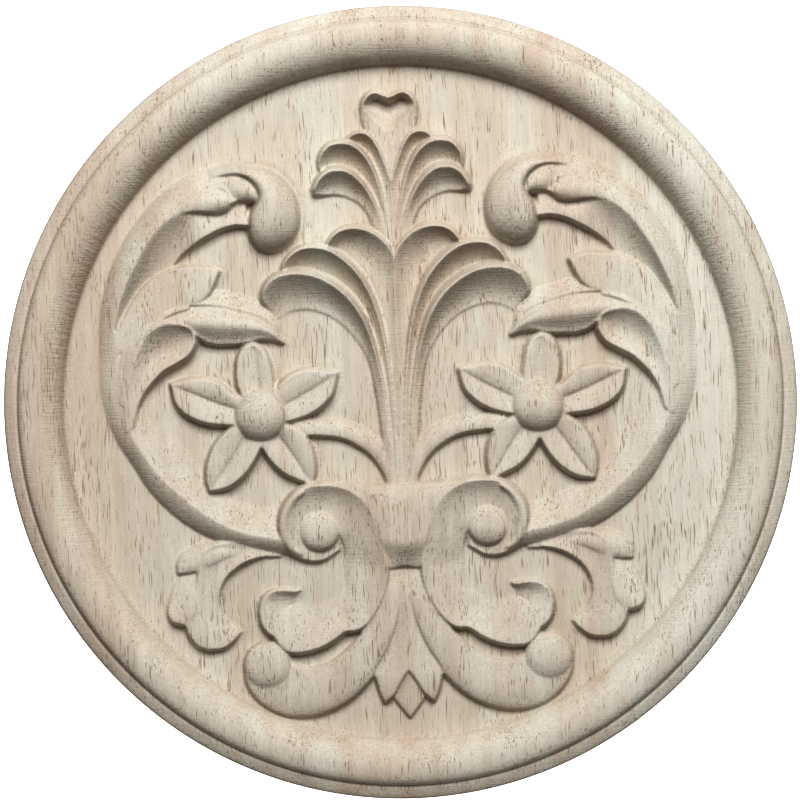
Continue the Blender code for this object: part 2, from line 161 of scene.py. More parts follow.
class Relief:
    """Heights of the carving over the ground, on a grid of the right half and a strip past the axis."""

    def __init__(self) -> None:
        """Starts with flat ground."""
        self.x = np.arange(GRID_LEFT, GRID_REACH + GRID_STEP, GRID_STEP)
        self.z = np.arange(-GRID_REACH, GRID_REACH + GRID_STEP, GRID_STEP)
        self.heights = np.zeros((len(self.z), len(self.x)))

    def lay(self, places: np.ndarray, heights: np.ndarray, laying: Laying) -> None:
        """Lays a sampled surface on the grid.

        Args:
            places: Plan positions, shape (n, 2).
            heights: Their heights, shape (n,).
            laying: Whether the surface is raised over the grid or cut into it.
        """
        column = np.rint((places[:, 0] - self.x[0]) / GRID_STEP).astype(int)
        row = np.rint((places[:, 1] - self.z[0]) / GRID_STEP).astype(int)
        inside = (column >= 0) & (column < len(self.x)) & (row >= 0) & (row < len(self.z))
        cell = row[inside] * len(self.x) + column[inside]
        top = np.full(self.heights.size, -np.inf)
        np.maximum.at(top, cell, heights[inside])
        top = top.reshape(self.heights.shape)
        covered = np.isfinite(top)
        if laying is Laying.RAISE:
            covered &= top > self.heights
        self.heights[covered] = top[covered]

    def sheet(
        self,
        inner: Path,
        outer: Path,
        inner_height: Law,
        outer_height: Law,
        crown: Law = 0.0,
        section: Section = Section.ARCH,
        laying: Laying = Laying.RAISE,
        lean: float = 1.0,
    ) -> None:
        """Lays the surface between two edges, matched point by point.

        Args:
            inner: A few points along one edge.
            outer: A few points along the other edge.
            inner_height: Heights along the first edge.
            outer_height: Heights along the other edge.
            crown: How far the middle rises, or sinks in a hollow section; how sharply a scoop falls.
            section: The kind of section.
            laying: Whether it is raised or cut.
            lean: Over 1, the section's middle is nearer the outer edge; under 1, the inner one.
        """
        edges = smooth_path(inner, EDGE_PLACES), smooth_path(outer, EDGE_PLACES)
        longest = max(np.linalg.norm(np.diff(edge, axis=0), axis=1).max() for edge in edges)
        width = np.linalg.norm(edges[0] - edges[1], axis=1).max()
        stations = int(longest * (EDGE_PLACES - 1) / (LAID_SPACING * GRID_STEP)) + 2
        count = int(width / (LAID_SPACING * GRID_STEP)) + 2
        first, last = smooth_path(inner, stations)[:, None], smooth_path(outer, stations)[:, None]
        share = np.linspace(0, 1, count)
        places = first * (1 - share)[None, :, None] + last * share[None, :, None]
        near, far, bulge = (run_of(law, stations) for law in (inner_height, outer_height, crown))
        if section is Section.SCOOP:
            rise = far + (near - far) * (1 - share) ** bulge
        else:
            rise = near * (1 - share) + far * share + bulge * across_shape(share**lean, section)
        self.lay(places.reshape(-1, 2), rise.ravel(), laying)

    def strand(
        self,
        spine: Path,
        half_width: list[float],
        left_height: Law,
        right_height: Law,
        crown: Law,
    ) -> None:
        """Raises a motif of a given half width on both sides of a spine.

        Args:
            spine: A few points along its middle.
            half_width: Half widths along it.
            left_height: Heights along the edge left of the way along the spine.
            right_height: Heights along the right edge.
            crown: How far the middle rises.
        """
        line = smooth_path(spine, SPINE_PLACES)
        way = np.gradient(line, axis=0)
        way /= np.linalg.norm(way, axis=1)[:, None]
        side = np.stack([-way[:, 1], way[:, 0]], 1)
        half = smooth_path(half_width, SPINE_PLACES)
        self.sheet(line + side * half, line - side * half, left_height, right_height, crown)

    def dome(self, centre: Point, radius: float, foot: float, rise: float) -> None:
        """Raises a round dome.

        Args:
            centre: Its centre.
            radius: Its radius in plan.
            foot: The height of its edge.
            rise: How far its top stands over the edge.
        """
        turn = np.linspace(0, 2 * math.pi, int(8 * math.pi * radius / GRID_STEP))
        reach = np.linspace(0, 1, int(3 * radius / GRID_STEP))[:, None]
        x = centre[0] + radius * reach * np.cos(turn)
        z = centre[1] + radius * reach * np.sin(turn)
        height = foot + rise * np.sqrt(1 - reach**2) * np.ones_like(x)
        self.lay(np.stack([x.ravel(), z.ravel()], 1), height.ravel(), Laying.RAISE)

    def mirror_strip(self) -> None:
        """Makes the strip past the axis the mirror image of the carving beside it."""
        left = np.flatnonzero(self.x < -1e-9)
        axis = len(left)
        self.heights[:, left] = self.heights[:, 2 * axis - left]

    def at(self, field: np.ndarray, x: np.ndarray, z: np.ndarray) -> np.ndarray:
        """Reads a field of the grid between its nodes.

        Args:
            field: Values on the grid.
            x: Positions across; the left half reads the right one.
            z: Positions up.

        Returns:
            The values there.
        """
        column = np.clip((np.abs(x) - self.x[0]) / GRID_STEP, 0, len(self.x) - 1.001)
        row = np.clip((z - self.z[0]) / GRID_STEP, 0, len(self.z) - 1.001)
        i, j = row.astype(int), column.astype(int)
        u, v = column - j, row - i
        low = field[i, j] * (1 - u) + field[i, j + 1] * u
        high = field[i + 1, j] * (1 - u) + field[i + 1, j + 1] * u
        return low * (1 - v) + high * v


@dataclass
class Rim:
    """The turned rim: a cove, a steep inner wall, a big bead, a groove and a sloping edge."""

    profile: tuple[Point, ...] = (
        (0.0, 0.0), (121.0, 0.0), (124.5, 0.1), (126.6, 0.25), (127.5, 0.55), (128.0, 1.3), (128.5, 3.0),
        (129.0, 4.15), (130.0, 5.75), (131.0, 6.95), (132.0, 7.9), (133.0, 8.6), (134.0, 9.2), (135.0, 9.65),
        (136.0, 10.0), (137.0, 10.27), (138.0, 10.43), (139.3, 10.5), (141.0, 10.35), (142.0, 10.1),
        (143.0, 9.7), (143.8, 9.1), (144.3, 8.4), (144.7, 7.4), (145.0, 7.1), (145.4, 7.35), (146.0, 7.3),
        (147.0, 6.95), (148.0, 6.55), (149.0, 6.1), (149.6, 5.7), (150.0, 5.0), (153.0, 5.0),
    )

    def height(self, radius: np.ndarray) -> np.ndarray:
        """Gives the rim's height at a distance from the centre.

        Args:
            radius: Distances in millimetres.

        Returns:
            Heights over the ground.
        """
        known = np.array(self.profile)
        return np.interp(radius, known[:, 0], known[:, 1])


@dataclass
class Scroll:
    """The big C: a band that swells out of the ground, a hollow channel and a ball at its upper end."""

    band: float = 4.9
    brow: float = 7.4

    def carve(self, relief: Relief) -> None:
        """Lays the band, the brow, the channel, the curls and the ball.

        Args:
            relief: The grid that is carved.
        """
        band, brow = self.band, self.brow
        soft = [
            (88.5, 15), (88, 0), (85.5, -8), (80, -16), (76, -22), (70, -29), (62, -34.5), (53, -37.5),
            (44, -38.5),
        ]
        crest = [
            (106, 27), (105.3, 8), (102.5, -6), (97, -16.5), (90, -26), (80, -35.5), (70, -42.5), (60, -47),
            (44, -50.5),
        ]
        foot = [
            (112.8, 27), (112.8, 8), (108.4, -8), (101.3, -20), (95, -30), (86, -39.5), (75, -47),
            (62, -52.3), (42, -55.8),
        ]
        swell = [3.4, 3.9, 4.4, band, band, band, band, band, 4.6]
        relief.sheet(soft, crest, 0, swell, -0.6)
        relief.sheet(crest, foot, swell, [0.1, 0.2, 0.5, 0.8, 1, 1, 1, 1, 1.2], 0.6)
        edge = [
            (58, 79.5), (61.5, 77), (66, 74.7), (72, 75.1), (78, 75.1), (83.5, 73.2), (90, 67.6),
            (95.2, 60.4), (99.4, 52.8), (103.2, 44.4), (105.8, 36.6), (106.4, 20),
        ]
        back = [
            (58, 93.5), (62, 93.2), (67, 92.6), (73, 91), (79, 88.5), (86, 84), (94, 76.5), (101.5, 66.5),
            (107.5, 55), (111, 44), (112.6, 33), (112.9, 18),
        ]
        ridge = [6, 6.5, brow, brow, brow, brow, brow, 7.2, 6.8, 6, 4.8, 3.4]
        relief.sheet(back, edge, [0.2] * 9 + [0.1] * 3, ridge, [1.8, 1.8, 1.8, 1.6, 1.4, 1.2, 1, 0.6])
        crest = [
            (55.5, 78), (59.6, 78), (64.8, 75), (70, 75), (75, 75.1), (79.8, 74.8), (85, 72.2), (90, 67.6),
            (95, 60.7), (98.5, 54.8), (101.5, 48.8), (104, 42.6), (105.8, 36.8), (107, 31),
        ]
        stem = [
            (55.5, 69.5), (60, 69.7), (64.5, 68.8), (69, 66.9), (73.5, 64.4), (77.5, 61.6), (81.5, 58),
            (85.6, 53.2), (89.5, 51.2), (93.2, 49), (96.6, 46), (100.2, 41.6), (103.2, 37), (106.2, 31),
        ]
        relief.sheet(
            crest, stem, [2.9, 2.9, 2.9, 3.4, 5, 7, 7.4, 7.4, 7.3, 7, 6.6, 6, 5, 3.8],
            [4.2, 4.4, 4.6, 4.7, 4.6, 3.8, 2.4, 1.7, 1.4, 1.4, 1.4, 1.6, 2.2, 3.4],
            [1.2, 1.2, 1.2, 1.6, 2.2, 2.6, 2.4, 2.2, 2, 1.9, 1.8, 1.8, 1.6, 1.3], Section.SCOOP, Laying.CUT,
        )
        self.carve_curls(relief)
        self.carve_ball(relief)

    def carve_curls(self, relief: Relief) -> None:
        """Lays the two small curls between the brow and the ball.

        Args:
            relief: The grid that is carved.
        """
        relief.sheet(
            [(60.8, 79.2), (62.2, 81.8), (64.4, 83.4), (67.4, 84.1), (71, 84.1), (75, 83.2), (80, 80.4)],
            [(60.8, 77.6), (62, 75.8), (64.6, 74.9), (68, 74.9), (72, 75.2), (76, 75.2), (81, 74.3)],
            [4, 4.2, 4.4, 4.6, 4.8, 5.3, 5.7], [4.6, 5, 5.6, 6.2, 6.8, 7, 7.1],
            [1, 2.4, 2.6, 2.2, 1.6, 1.2, 1],
            laying=Laying.CUT,
        )
        relief.sheet(
            [(50.4, 81.2), (51.2, 83.6), (52.6, 85.9), (54.8, 87.5), (57, 88.3), (59.2, 88.6), (61.5, 88.2)],
            [(51, 78.4), (53, 78.7), (55.6, 78.8), (58.6, 78.8), (60.4, 80), (61.6, 82), (63, 84.6)],
            [4, 4.2, 4.4, 4.6, 4.6, 4.4, 4.2], [5, 5.2, 5.2, 5.2, 5.3, 5.2, 5],
            [0.8, 1.8, 2.2, 2, 1.6, 0.8, 0],
            laying=Laying.CUT,
        )

    def carve_ball(self, relief: Relief) -> None:
        """Lays the ball that the C ends in, which swells out of its upper curl.

        Args:
            relief: The grid that is carved.
        """
        outside = [
            (68, 92.6), (58, 93.2), (50, 92), (43.6, 89), (38.8, 84), (36, 77.5), (35.5, 71), (37.2, 65),
            (41, 61.4), (45.6, 59.4), (50.2, 60.2), (53.4, 64.4),
        ]
        inside = [
            (69, 88), (60.5, 88.9), (55.4, 87.8), (52, 85), (50.2, 81.2), (50.4, 78.6), (52, 75.6),
            (53.4, 73), (54, 70.5), (54.1, 68.5), (54, 66.5), (53.6, 64.8),
        ]
        relief.sheet(
            outside, inside, [0, 0.4, 0.8, 1, *[1.2] * 8],
            [3.2, 4.8, 5.8, 6, 6, 6, 5.4, 5, 4.6, 4, 3, 2],
            [0.6, 2.2, 3.6, 4.6, 5.4, 6.0, 6.4, 6.2, 5.6, 4.6, 3.2, 1], Section.ROUND,
        )


@dataclass
class Acanthus:
    """The leaf that grows from the C towards the flower: a sheet, a roll and a spoon."""

    roll: float = 3.0
    spoon: float = 3.0

    def carve(self, relief: Relief) -> None:
        """Lays the sheet, the roll and the spoon.

        Args:
            relief: The grid that is carved.
        """
        relief.sheet(
            [(66.6, 52.4), (71, 53.9), (78, 54.2), (86, 52.8), (96, 46.4), (106, 31)],
            [(70.4, 44), (74, 41.5), (80, 40.3), (86, 38.8), (93, 35), (106, 22)],
            [3.6, 4, 4.2, 4.2, 3.6, 3.6], [4, 4.7, 4.9, 5, 5, 3.6], 0.2,
        )
        relief.sheet(
            [(44.4, 29), (45.5, 35), (49.5, 39.8), (56, 42.8), (64, 44.8), (70, 44.8), (76, 43.6)],
            [(45, 28), (47.8, 32.5), (52.5, 35.4), (58.5, 37.3), (65.5, 39.3), (72, 40), (78, 39.9)],
            [0, 0, 0, 0, 0.2, 1.6, 3.8], [1.6, 2.4, 3, 3.6, 4.2, 4.6, 4.8], -0.2,
        )
        relief.sheet(
            [(78, 40), (84, 39), (90, 36), (98, 30), (105, 20), (106, 4)],
            [(80, 31.6), (85, 32.8), (91, 31.4), (96, 26), (100, 17.5), (103.2, 2)],
            [4.8, 5, 5, 4.6, 3.8, 4.0], [7.2, 7.4, 7.2, 6.6, 5.6, 4.6], 0.2,
        )
        relief.sheet(
            [
                (43.2, 25.2), (46.5, 30), (52, 34.4), (58, 36.5), (64.5, 38.2), (71, 38.8), (77, 38.6),
                (83, 37.2), (89, 34.6),
            ],
            [
                (43.2, 24.6), (47.5, 25.9), (52.5, 26.2), (57.5, 25.2), (62.5, 24.7), (67.5, 24.8),
                (72.6, 26.2), (76.8, 29.6), (83, 33),
            ],
            [1.5, 1.9, 2.5, 3.2, 3.8, 4.2, 4.4, 4.7, 5.1], [2.4, 3, 3.4, 3.6, 3.6, 3.6, 4, 5.6, 7],
            [0.6, 1.6, 2.2, 2.8, self.roll, self.roll, 2.6, 1.4, 0.4], Section.SWELL, Laying.CUT, lean=0.85,
        )
        hollow = self.spoon
        relief.sheet(
            [
                (77.5, 30.6), (76.5, 28), (76.9, 24.6), (79.6, 20.8), (84.3, 18), (89, 15.4), (93, 11.6),
                (96.5, 7.2), (99, 2), (100.6, -5),
            ],
            [
                (77.9, 31), (79.6, 32), (82.5, 32.9), (87, 33), (92, 31), (96, 26.5), (98.8, 21), (101, 14),
                (103.2, 5), (103.4, -7),
            ],
            [6.4, 6, 5.6, 5.4, 5.4, 5.4, 5.4, 5.2, 4.8, 4.5], [6.8, 7, 7.2, 7.4, 7.2, 6.6, 6, 5.4, 5, 4.8],
            [0, 1, 2, 2.8, hollow, 2.6, 1.8, 1, 0.4, 0], Section.HOLLOW, Laying.CUT,
        )


@dataclass
class Lobe:
    """One scooped lobe of a palmette: it falls from a sharp crest to its low edge."""

    crest: Path
    foot: Path
    crest_height: Law
    foot_height: Law
    fall: Law = 2.0


@dataclass
class Palmette:
    """Scooped lobes that fan out of one bundle of stalks."""

    lobes: tuple[Lobe, ...]

    def carve(self, relief: Relief) -> None:
        """Cuts each lobe over the one before.

        Args:
            relief: The grid that is carved.
        """
        for lobe in self.lobes:
            heights = lobe.crest_height, lobe.foot_height
            relief.sheet(lobe.crest, lobe.foot, *heights, lobe.fall, Section.SCOOP, Laying.CUT)


def lower_palmette() -> Palmette:
    """Gives the big palmette over the clasp.

    Returns:
        Its lobes, from the inner one outwards.
    """
    return Palmette((
        Lobe(
            [
                (-0.6, -32), (-0.6, -14), (-0.6, 4), (-0.6, 20), (-0.6, 34), (-0.5, 46), (-0.2, 53),
                (1.4, 58.6), (4.8, 62.7), (8.6, 65.3), (13, 66.8), (17.4, 66.8), (21, 65.5), (23.8, 62.9),
                (25.6, 60.4),
            ],
            [
                (1.1, -32), (1.2, -14), (2.2, 4), (3.6, 20), (5.6, 32), (8.8, 42), (11.8, 47.6), (15, 52.2),
                (17.6, 55.2), (19.8, 57.4), (21.6, 58.8), (23, 59.6), (24.2, 60), (25, 60.2), (25.8, 60.3),
            ],
            [3.4, 3.4, 3.4, 3.6, 3.9, 4.5, 5, 5.5, 5.9, 6.1, 6.1, 5.9, 5.4, 4.4, 3],
            [2.6, 2.4, 2.2, 1.7, 0.8, -0.2, -0.8, -1.1, -1.2, -1.2, -1.1, -0.9, -0.5, 0.2, 0.6],
            [1.4, 1.4, 1.5, 1.6, 1.9, 2, *[2.1] * 8, 2],
        ),
        Lobe(
            [
                (1.3, -32), (1.6, -14), (2.5, 4), (3.8, 18), (5.6, 29), (8.2, 38.6), (11.4, 45.6),
                (14.6, 50.4), (18.8, 54.9), (23, 58), (27, 59.7), (31, 60.2), (35, 59.8), (38.4, 58),
                (41, 55.4), (42.6, 52.4),
            ],
            [
                (3.3, -32), (3.4, -14), (4.4, 4), (6.2, 18), (9.2, 28.6), (12.2, 35.4), (15.6, 40.8),
                (19, 44.6), (22.4, 47), (25.8, 49.2), (29, 50.6), (32, 51.4), (35, 51.9), (38, 52),
                (40.5, 51.9), (42.8, 51.6),
            ],
            [3.3, 3.3, 3.4, 3.7, 4.2, 4.9, 5.6, 6.1, 6.4, 6.6, 6.6, 6.5, 6.2, 5.6, 4.6, 3.2],
            [2.4, 2.2, 2, 1.5, 0.8, 0.1, -0.4, -0.7, -0.9, -1, -1, -0.9, -0.7, -0.4, 0.3, 0.8],
            [1.4, 1.4, 1.4, 1.6, 1.8, 1.9, *[2] * 9, 1.9],
        ),
        Lobe(
            [
                (3.5, -32), (3.9, -14), (5.2, 4), (7.2, 15), (9.4, 24), (12, 31.4), (15.4, 37.4), (19, 41.8),
                (23.4, 45.6), (28, 48.4), (33, 50.1), (38.4, 50.5), (43.4, 49.8), (47.2, 47.8), (49.6, 44.6),
                (50.4, 41), (48.9, 38.2),
            ],
            [
                (5.9, -32), (6.6, -14), (8, 2), (9.6, 12), (11.8, 19.2), (14.2, 23.4), (17, 27.2), (20, 30.4),
                (23.4, 33.2), (26.6, 35), (30, 36.3), (33.4, 37), (36.8, 37.1), (40, 36.5), (42.6, 35.4),
                (44.8, 34.2), (47.2, 36.6),
            ],
            [3.2, 3.2, 3.5, 4.1, 5, 6, 6.9, 7.6, 8, 8.2, 8.2, 8, 7.6, 6.9, 5.7, 3.6, 1.2],
            [2.2, 2, 1.8, 1.4, 0.9, 0.7, *[0.6] * 7, 0.5, 0.3, 0.4, 0.2],
            [1.4, 1.4, 1.5, 1.6, 1.8, 1.9, *[2] * 8, 1.9, 1.8, 1.7],
        ),
    ))


def upper_palmette() -> Palmette:
    """Gives the small palmette under the heart.

    Returns:
        Its lobes, from the inner one outwards.
    """
    return Palmette((
        Lobe(
            [
                (-0.6, 54), (-0.6, 64), (-0.6, 74), (-0.3, 81), (0.8, 86.6), (2.6, 92), (4.6, 97),
                (6.8, 100.6), (9.2, 102.5), (11.8, 102.9), (14.2, 102.2), (16.2, 100.7),
            ],
            [
                (0.6, 54), (0.9, 64), (2, 73), (3.2, 80), (4.8, 86), (6.6, 90.6), (8.6, 94.2), (10.4, 96.8),
                (12, 98.3), (13.4, 99.2), (14.8, 99.8), (16.4, 100.3),
            ],
            [3, 3, 3, 3.2, 3.6, 3.9, 4.5, 4.8, 4.9, 4.6, 3.5, 2.3],
            [2.4, 2.4, 2, 1.5, 0.9, 0.4, -0.1, -0.3, -0.3, -0.2, 0.3, 0.6],
            [1.4, 1.5, 1.6, 1.9, 2.1, 2.1, 2.3, 2.4, 2.4, 2.2, 2, 1.7],
        ),
        Lobe(
            [
                (0.8, 54), (1.2, 64), (2.4, 73), (3.9, 80), (5.6, 86), (7.8, 91), (10.2, 94.8), (13, 97.4),
                (16, 98.9), (19.4, 99.2), (22.8, 98.5), (25.2, 96.4), (26.8, 93.4), (27, 90),
            ],
            [
                (2.2, 54), (2.6, 64), (4, 71.6), (6, 77.4), (8.2, 81.6), (10.6, 85), (13, 87.5), (15.4, 89.1),
                (17.6, 90), (20, 90.3), (22, 90.2), (24, 90), (25.6, 89.6), (26.8, 89),
            ],
            [2.9, 2.9, 3, 3.4, 4, 4.9, 5.7, 6.2, 6.4, 6.4, 6.2, 5.7, 4.3, 2.9],
            [2.3, 2.2, 1.8, 1.3, 0.8, 0.2, -0.2, -0.4, -0.4, -0.4, -0.2, 0.1, 0.8, 1.4],
            [1.4, 1.4, 1.5, 1.8, 2, 2.1, *[2.3] * 5, 2.2, 2, 1.6],
        ),
        Lobe(
            [
                (2.4, 54), (2.9, 63), (4.4, 70), (6.4, 75.6), (8.6, 80), (11.2, 83.8), (14, 86.6), (17, 88.5),
                (20.2, 89.1), (23.4, 88.6), (26, 86.9), (28, 84.5), (29.2, 82),
            ],
            [
                (4.6, 54), (5.4, 61), (6.8, 66), (8.6, 71), (10.6, 74.4), (13, 76.8), (15.8, 78.5),
                (18.6, 79.6), (21.4, 80.1), (24, 80.1), (26, 80.1), (28, 80.2), (29.4, 80.6),
            ],
            [2.8, 2.8, 3.1, 3.8, 4.8, 5.7, 6.6, 7.1, 7.4, 7.5, 7.4, 6.5, 5.5],
            [2, 1.8, 1.6, 1.4, 1.1, 0.9, 0.8, 0.9, 1.1, 1.4, 1.9, 2.8, 3.4],
            [1.4, 1.4, 1.6, 1.9, 2.1, 2.1, *[2.2] * 5, 2, 1.7],
        ),
    ))


@dataclass
class Finial:
    """The heart at the top, scooped out under its upper rim."""

    height: float = 3.6
    floor: float = -4.2

    def carve(self, relief: Relief) -> None:
        """Lays the heart's body, then cuts the scoop under its rim.

        Args:
            relief: The grid that is carved.
        """
        top = self.height
        relief.sheet(
            [
                (-0.6, 86), (-0.6, 92), (-0.6, 98), (-0.6, 104), (-0.6, 109), (-0.6, 112.5), (-0.6, 114.6),
                (-0.6, 116),
            ],
            [
                (1.2, 87), (4.4, 95), (7, 100.6), (9.6, 105.4), (10.6, 110.6), (9.4, 115.6), (6, 118.2),
                (0.4, 116.2),
            ],
            [2.6, 2.4, 2.2, 2, 2.4, top, top, top], [2.6, 2.2, 1.8, 1.6, 2, top, top, top], 0.2,
        )
        low = self.floor
        relief.sheet(
            [(-0.6, 103), (2, 104), (5, 107), (7.4, 110), (9.5, 113)],
            [(-0.6, 115.3), (2.1, 116.3), (4.4, 117.3), (7.2, 116.4), (9.6, 113.2)],
            [2, 1.9, 1.8, 1.7, 1.7], [low, low + 0.3, low + 0.8, low + 2, top - 0.4], 1.6, Section.SCOOP,
            Laying.CUT,
        )


@dataclass
class Petal:
    """One petal: its shaded half and its lit half meet in a crease with a small step."""

    shaded: Path
    crease: Path
    lit: Path
    step: float = 0.8


@dataclass
class Flower:
    """Five creased petals round a dome, on a stem from the bundle of stalks."""

    centre: Point = (52.6, -2.6)
    dome_radius: float = 9.8
    edge_height: float = 4.5
    crease_height: float = 3.0
    petals: tuple[Petal, ...] = (
        Petal(
            [(47.4, 4), (47.6, 9), (48.3, 14), (49.2, 18.6), (51.2, 22.6), (54.4, 24.4)],
            [(53.4, 3), (53.6, 8), (53.9, 13), (54.2, 18), (54.4, 22), (54.6, 24.4)],
            [(59, 4), (60.6, 9), (60.9, 14), (60.4, 18.6), (58.4, 22.8), (54.8, 24.4)],
            step=0.0,
        ),
        Petal(
            [(49, 5), (45, 8.6), (41, 11.7), (36, 13.5), (30, 13.4), (23.4, 12.4)],
            [(45, 0.8), (41.6, 2.6), (37.6, 4.6), (33, 7.1), (28.6, 9.6), (23.4, 12.3)],
            [(46, -5.8), (41, -4.8), (35, -3), (29.6, 0.2), (25.2, 5), (23.2, 12.2)],
        ),
        Petal(
            [(58, 4), (62.4, 5.2), (66.6, 8.8), (72, 11.4), (79, 11.7), (86, 10.2)],
            [(59, -0.4), (64, 1.3), (69, 3.2), (74, 5.4), (79.4, 7.7), (86, 10.1)],
            [(60, -5.8), (66, -5.6), (73, -4.6), (79.6, -1.8), (84.2, 2.8), (86, 10)],
        ),
        Petal(
            [(46, -5.8), (39, -8.6), (35, -13.4), (33.2, -18.8), (32.8, -24), (34, -29.3)],
            [(47, -8.5), (44, -12.5), (41, -17), (38.4, -21.2), (36, -25.6), (34.2, -29.3)],
            [(53.6, -11.5), (52, -15.2), (48.9, -20), (44.6, -24.4), (39.4, -27.2), (34.4, -29.4)],
        ),
        Petal(
            [(60, -5.2), (65.6, -8.6), (70.2, -13.4), (73, -20), (73.8, -25.4), (73, -30.4)],
            [(57.4, -7.6), (60.4, -12), (64, -17.4), (67.4, -22.4), (70.2, -26.8), (72.9, -30.5)],
            [(52.6, -12), (54.4, -17.2), (58.4, -23.2), (63, -27.4), (67.6, -29.7), (72.8, -30.6)],
        ),
    )

    def carve(self, relief: Relief) -> None:
        """Lays the stem, the petals and the dome.

        Args:
            relief: The grid that is carved.
        """
        relief.strand(
            [(2.8, -34), (4.6, -26), (8.6, -17.6), (15, -12), (22, -9), (30, -8), (40, -7.5)],
            [1.6, 2.2, 3.2, 3.4, 3.2, 3, 3],
            [2.4, 2, 1.4, 1, 1, 1.2, 1.6], [2.2, 2.2, 2.4, 2.8, 3, 3.2, 3.4], [0.6, 0.8, 1, 1.1, 1, 0.9, 0.8],
        )
        high, low = self.edge_height, self.crease_height
        for petal in self.petals:
            edge = [high, high + 0.2, high + 0.1, high, high - 0.4, high - 0.8]
            upper = [high - 0.4, *[low + petal.step] * 4, high - 1]
            lower = [high - 0.4, low, low, low, low + 0.2, high - 1]
            relief.sheet(petal.shaded, petal.crease, edge, upper, 0.4)
            relief.sheet(petal.lit, petal.crease, edge, lower, 0.3)
        relief.dome(self.centre, self.dome_radius, 3.0, 6.2)


@dataclass
class Clasp:
    """The waisted band that holds the stalks together."""

    height: float = 7.0

    def carve(self, relief: Relief) -> None:
        """Lays the band, which flares at the top into the volutes.

        Args:
            relief: The grid that is carved.
        """
        top = self.height
        relief.sheet(
            [
                (-0.6, -31.4), (-0.6, -36), (-0.6, -42), (-0.6, -49), (-0.6, -53.4), (-0.6, -57.5),
                (-0.6, -61.3),
            ],
            [(24, -30.6), (17, -34.5), (12, -40), (9.8, -46), (8.6, -52), (7.4, -57.5), (6.0, -62.3)],
            [4.8, top - 0.6, top, top + 0.3, top + 0.1, 4.9, 3.2], [5, 5.8, 6.2, 6.2, 6.2, 4.5, 3.2], 0.2,
        )


@dataclass
class Volute:
    """The small scroll beside the clasp: a raised rim, a band scooped under it and a ball in the middle."""

    rim: float = 6.4
    floor: float = 3.4
    ball: Point = (32.0, -47.2)
    ball_radius: float = 7.4

    def carve(self, relief: Relief) -> None:
        """Cuts the band, then lays the rim's bead and the ball.

        Args:
            relief: The grid that is carved.
        """
        outside = [
            (6.3, -61), (8, -54.5), (9.4, -48.6), (11.4, -41.8), (15, -36), (20, -32), (26, -30), (32, -29.7),
            (37.4, -30.8), (42, -34), (45.4, -39), (46.7, -44.6), (45.9, -50), (43.6, -54), (39.6, -57),
            (35, -58.4), (30.6, -58), (24.6, -54.6),
        ]
        inside = [
            (22.4, -61), (22.4, -57), (22.8, -53), (23.8, -49), (25, -45.4), (27, -42.2), (29.4, -40.4),
            (32, -39.8), (34.6, -40.4), (37, -42.2), (38.6, -44.6), (39.2, -47.4), (38.6, -50.2), (37, -52.6),
            (34.6, -54.2), (32, -54.7), (29.4, -54.2), (24.6, -49.6),
        ]
        high, low = self.rim, self.floor
        relief.sheet(
            outside, inside,
            [5.2, 5.6, 6, high, high, high, high, high, high, 6.2, 6, 5.6, 4.8, 3.8, 3, 2.6, 2.2, 1.8],
            [0.4, 0.6, 1.4, 2.6, low - 0.2, low, low, low, low, low, low, 3.2, 3, 2.6, 2.2, 2, 1.8, 1.4],
            [1, 0.9, 1, 1.6, 2.2, 2.6, 2.6, 2.4, 2, 1.4, 1, *[0.8] * 7],
            Section.SCOOP, Laying.CUT,
        )
        relief.strand(
            [
                (37.4, -32), (41.4, -35.2), (44.2, -39.8), (45.2, -44.8), (44.4, -49.6), (42.2, -53.4),
                (39, -55.8),
            ],
            [0.6, 1.1, 1.5, 1.7, 1.6, 1.3, 0.6], [6.2, 6, 5.8, 5.4, 4.8, 3.8, 3],
            [6, 5.6, 5.2, 4.8, 4.2, 3.4, 2.8], 0.9,
        )
        relief.dome(self.ball, self.ball_radius, 2.8, 3)


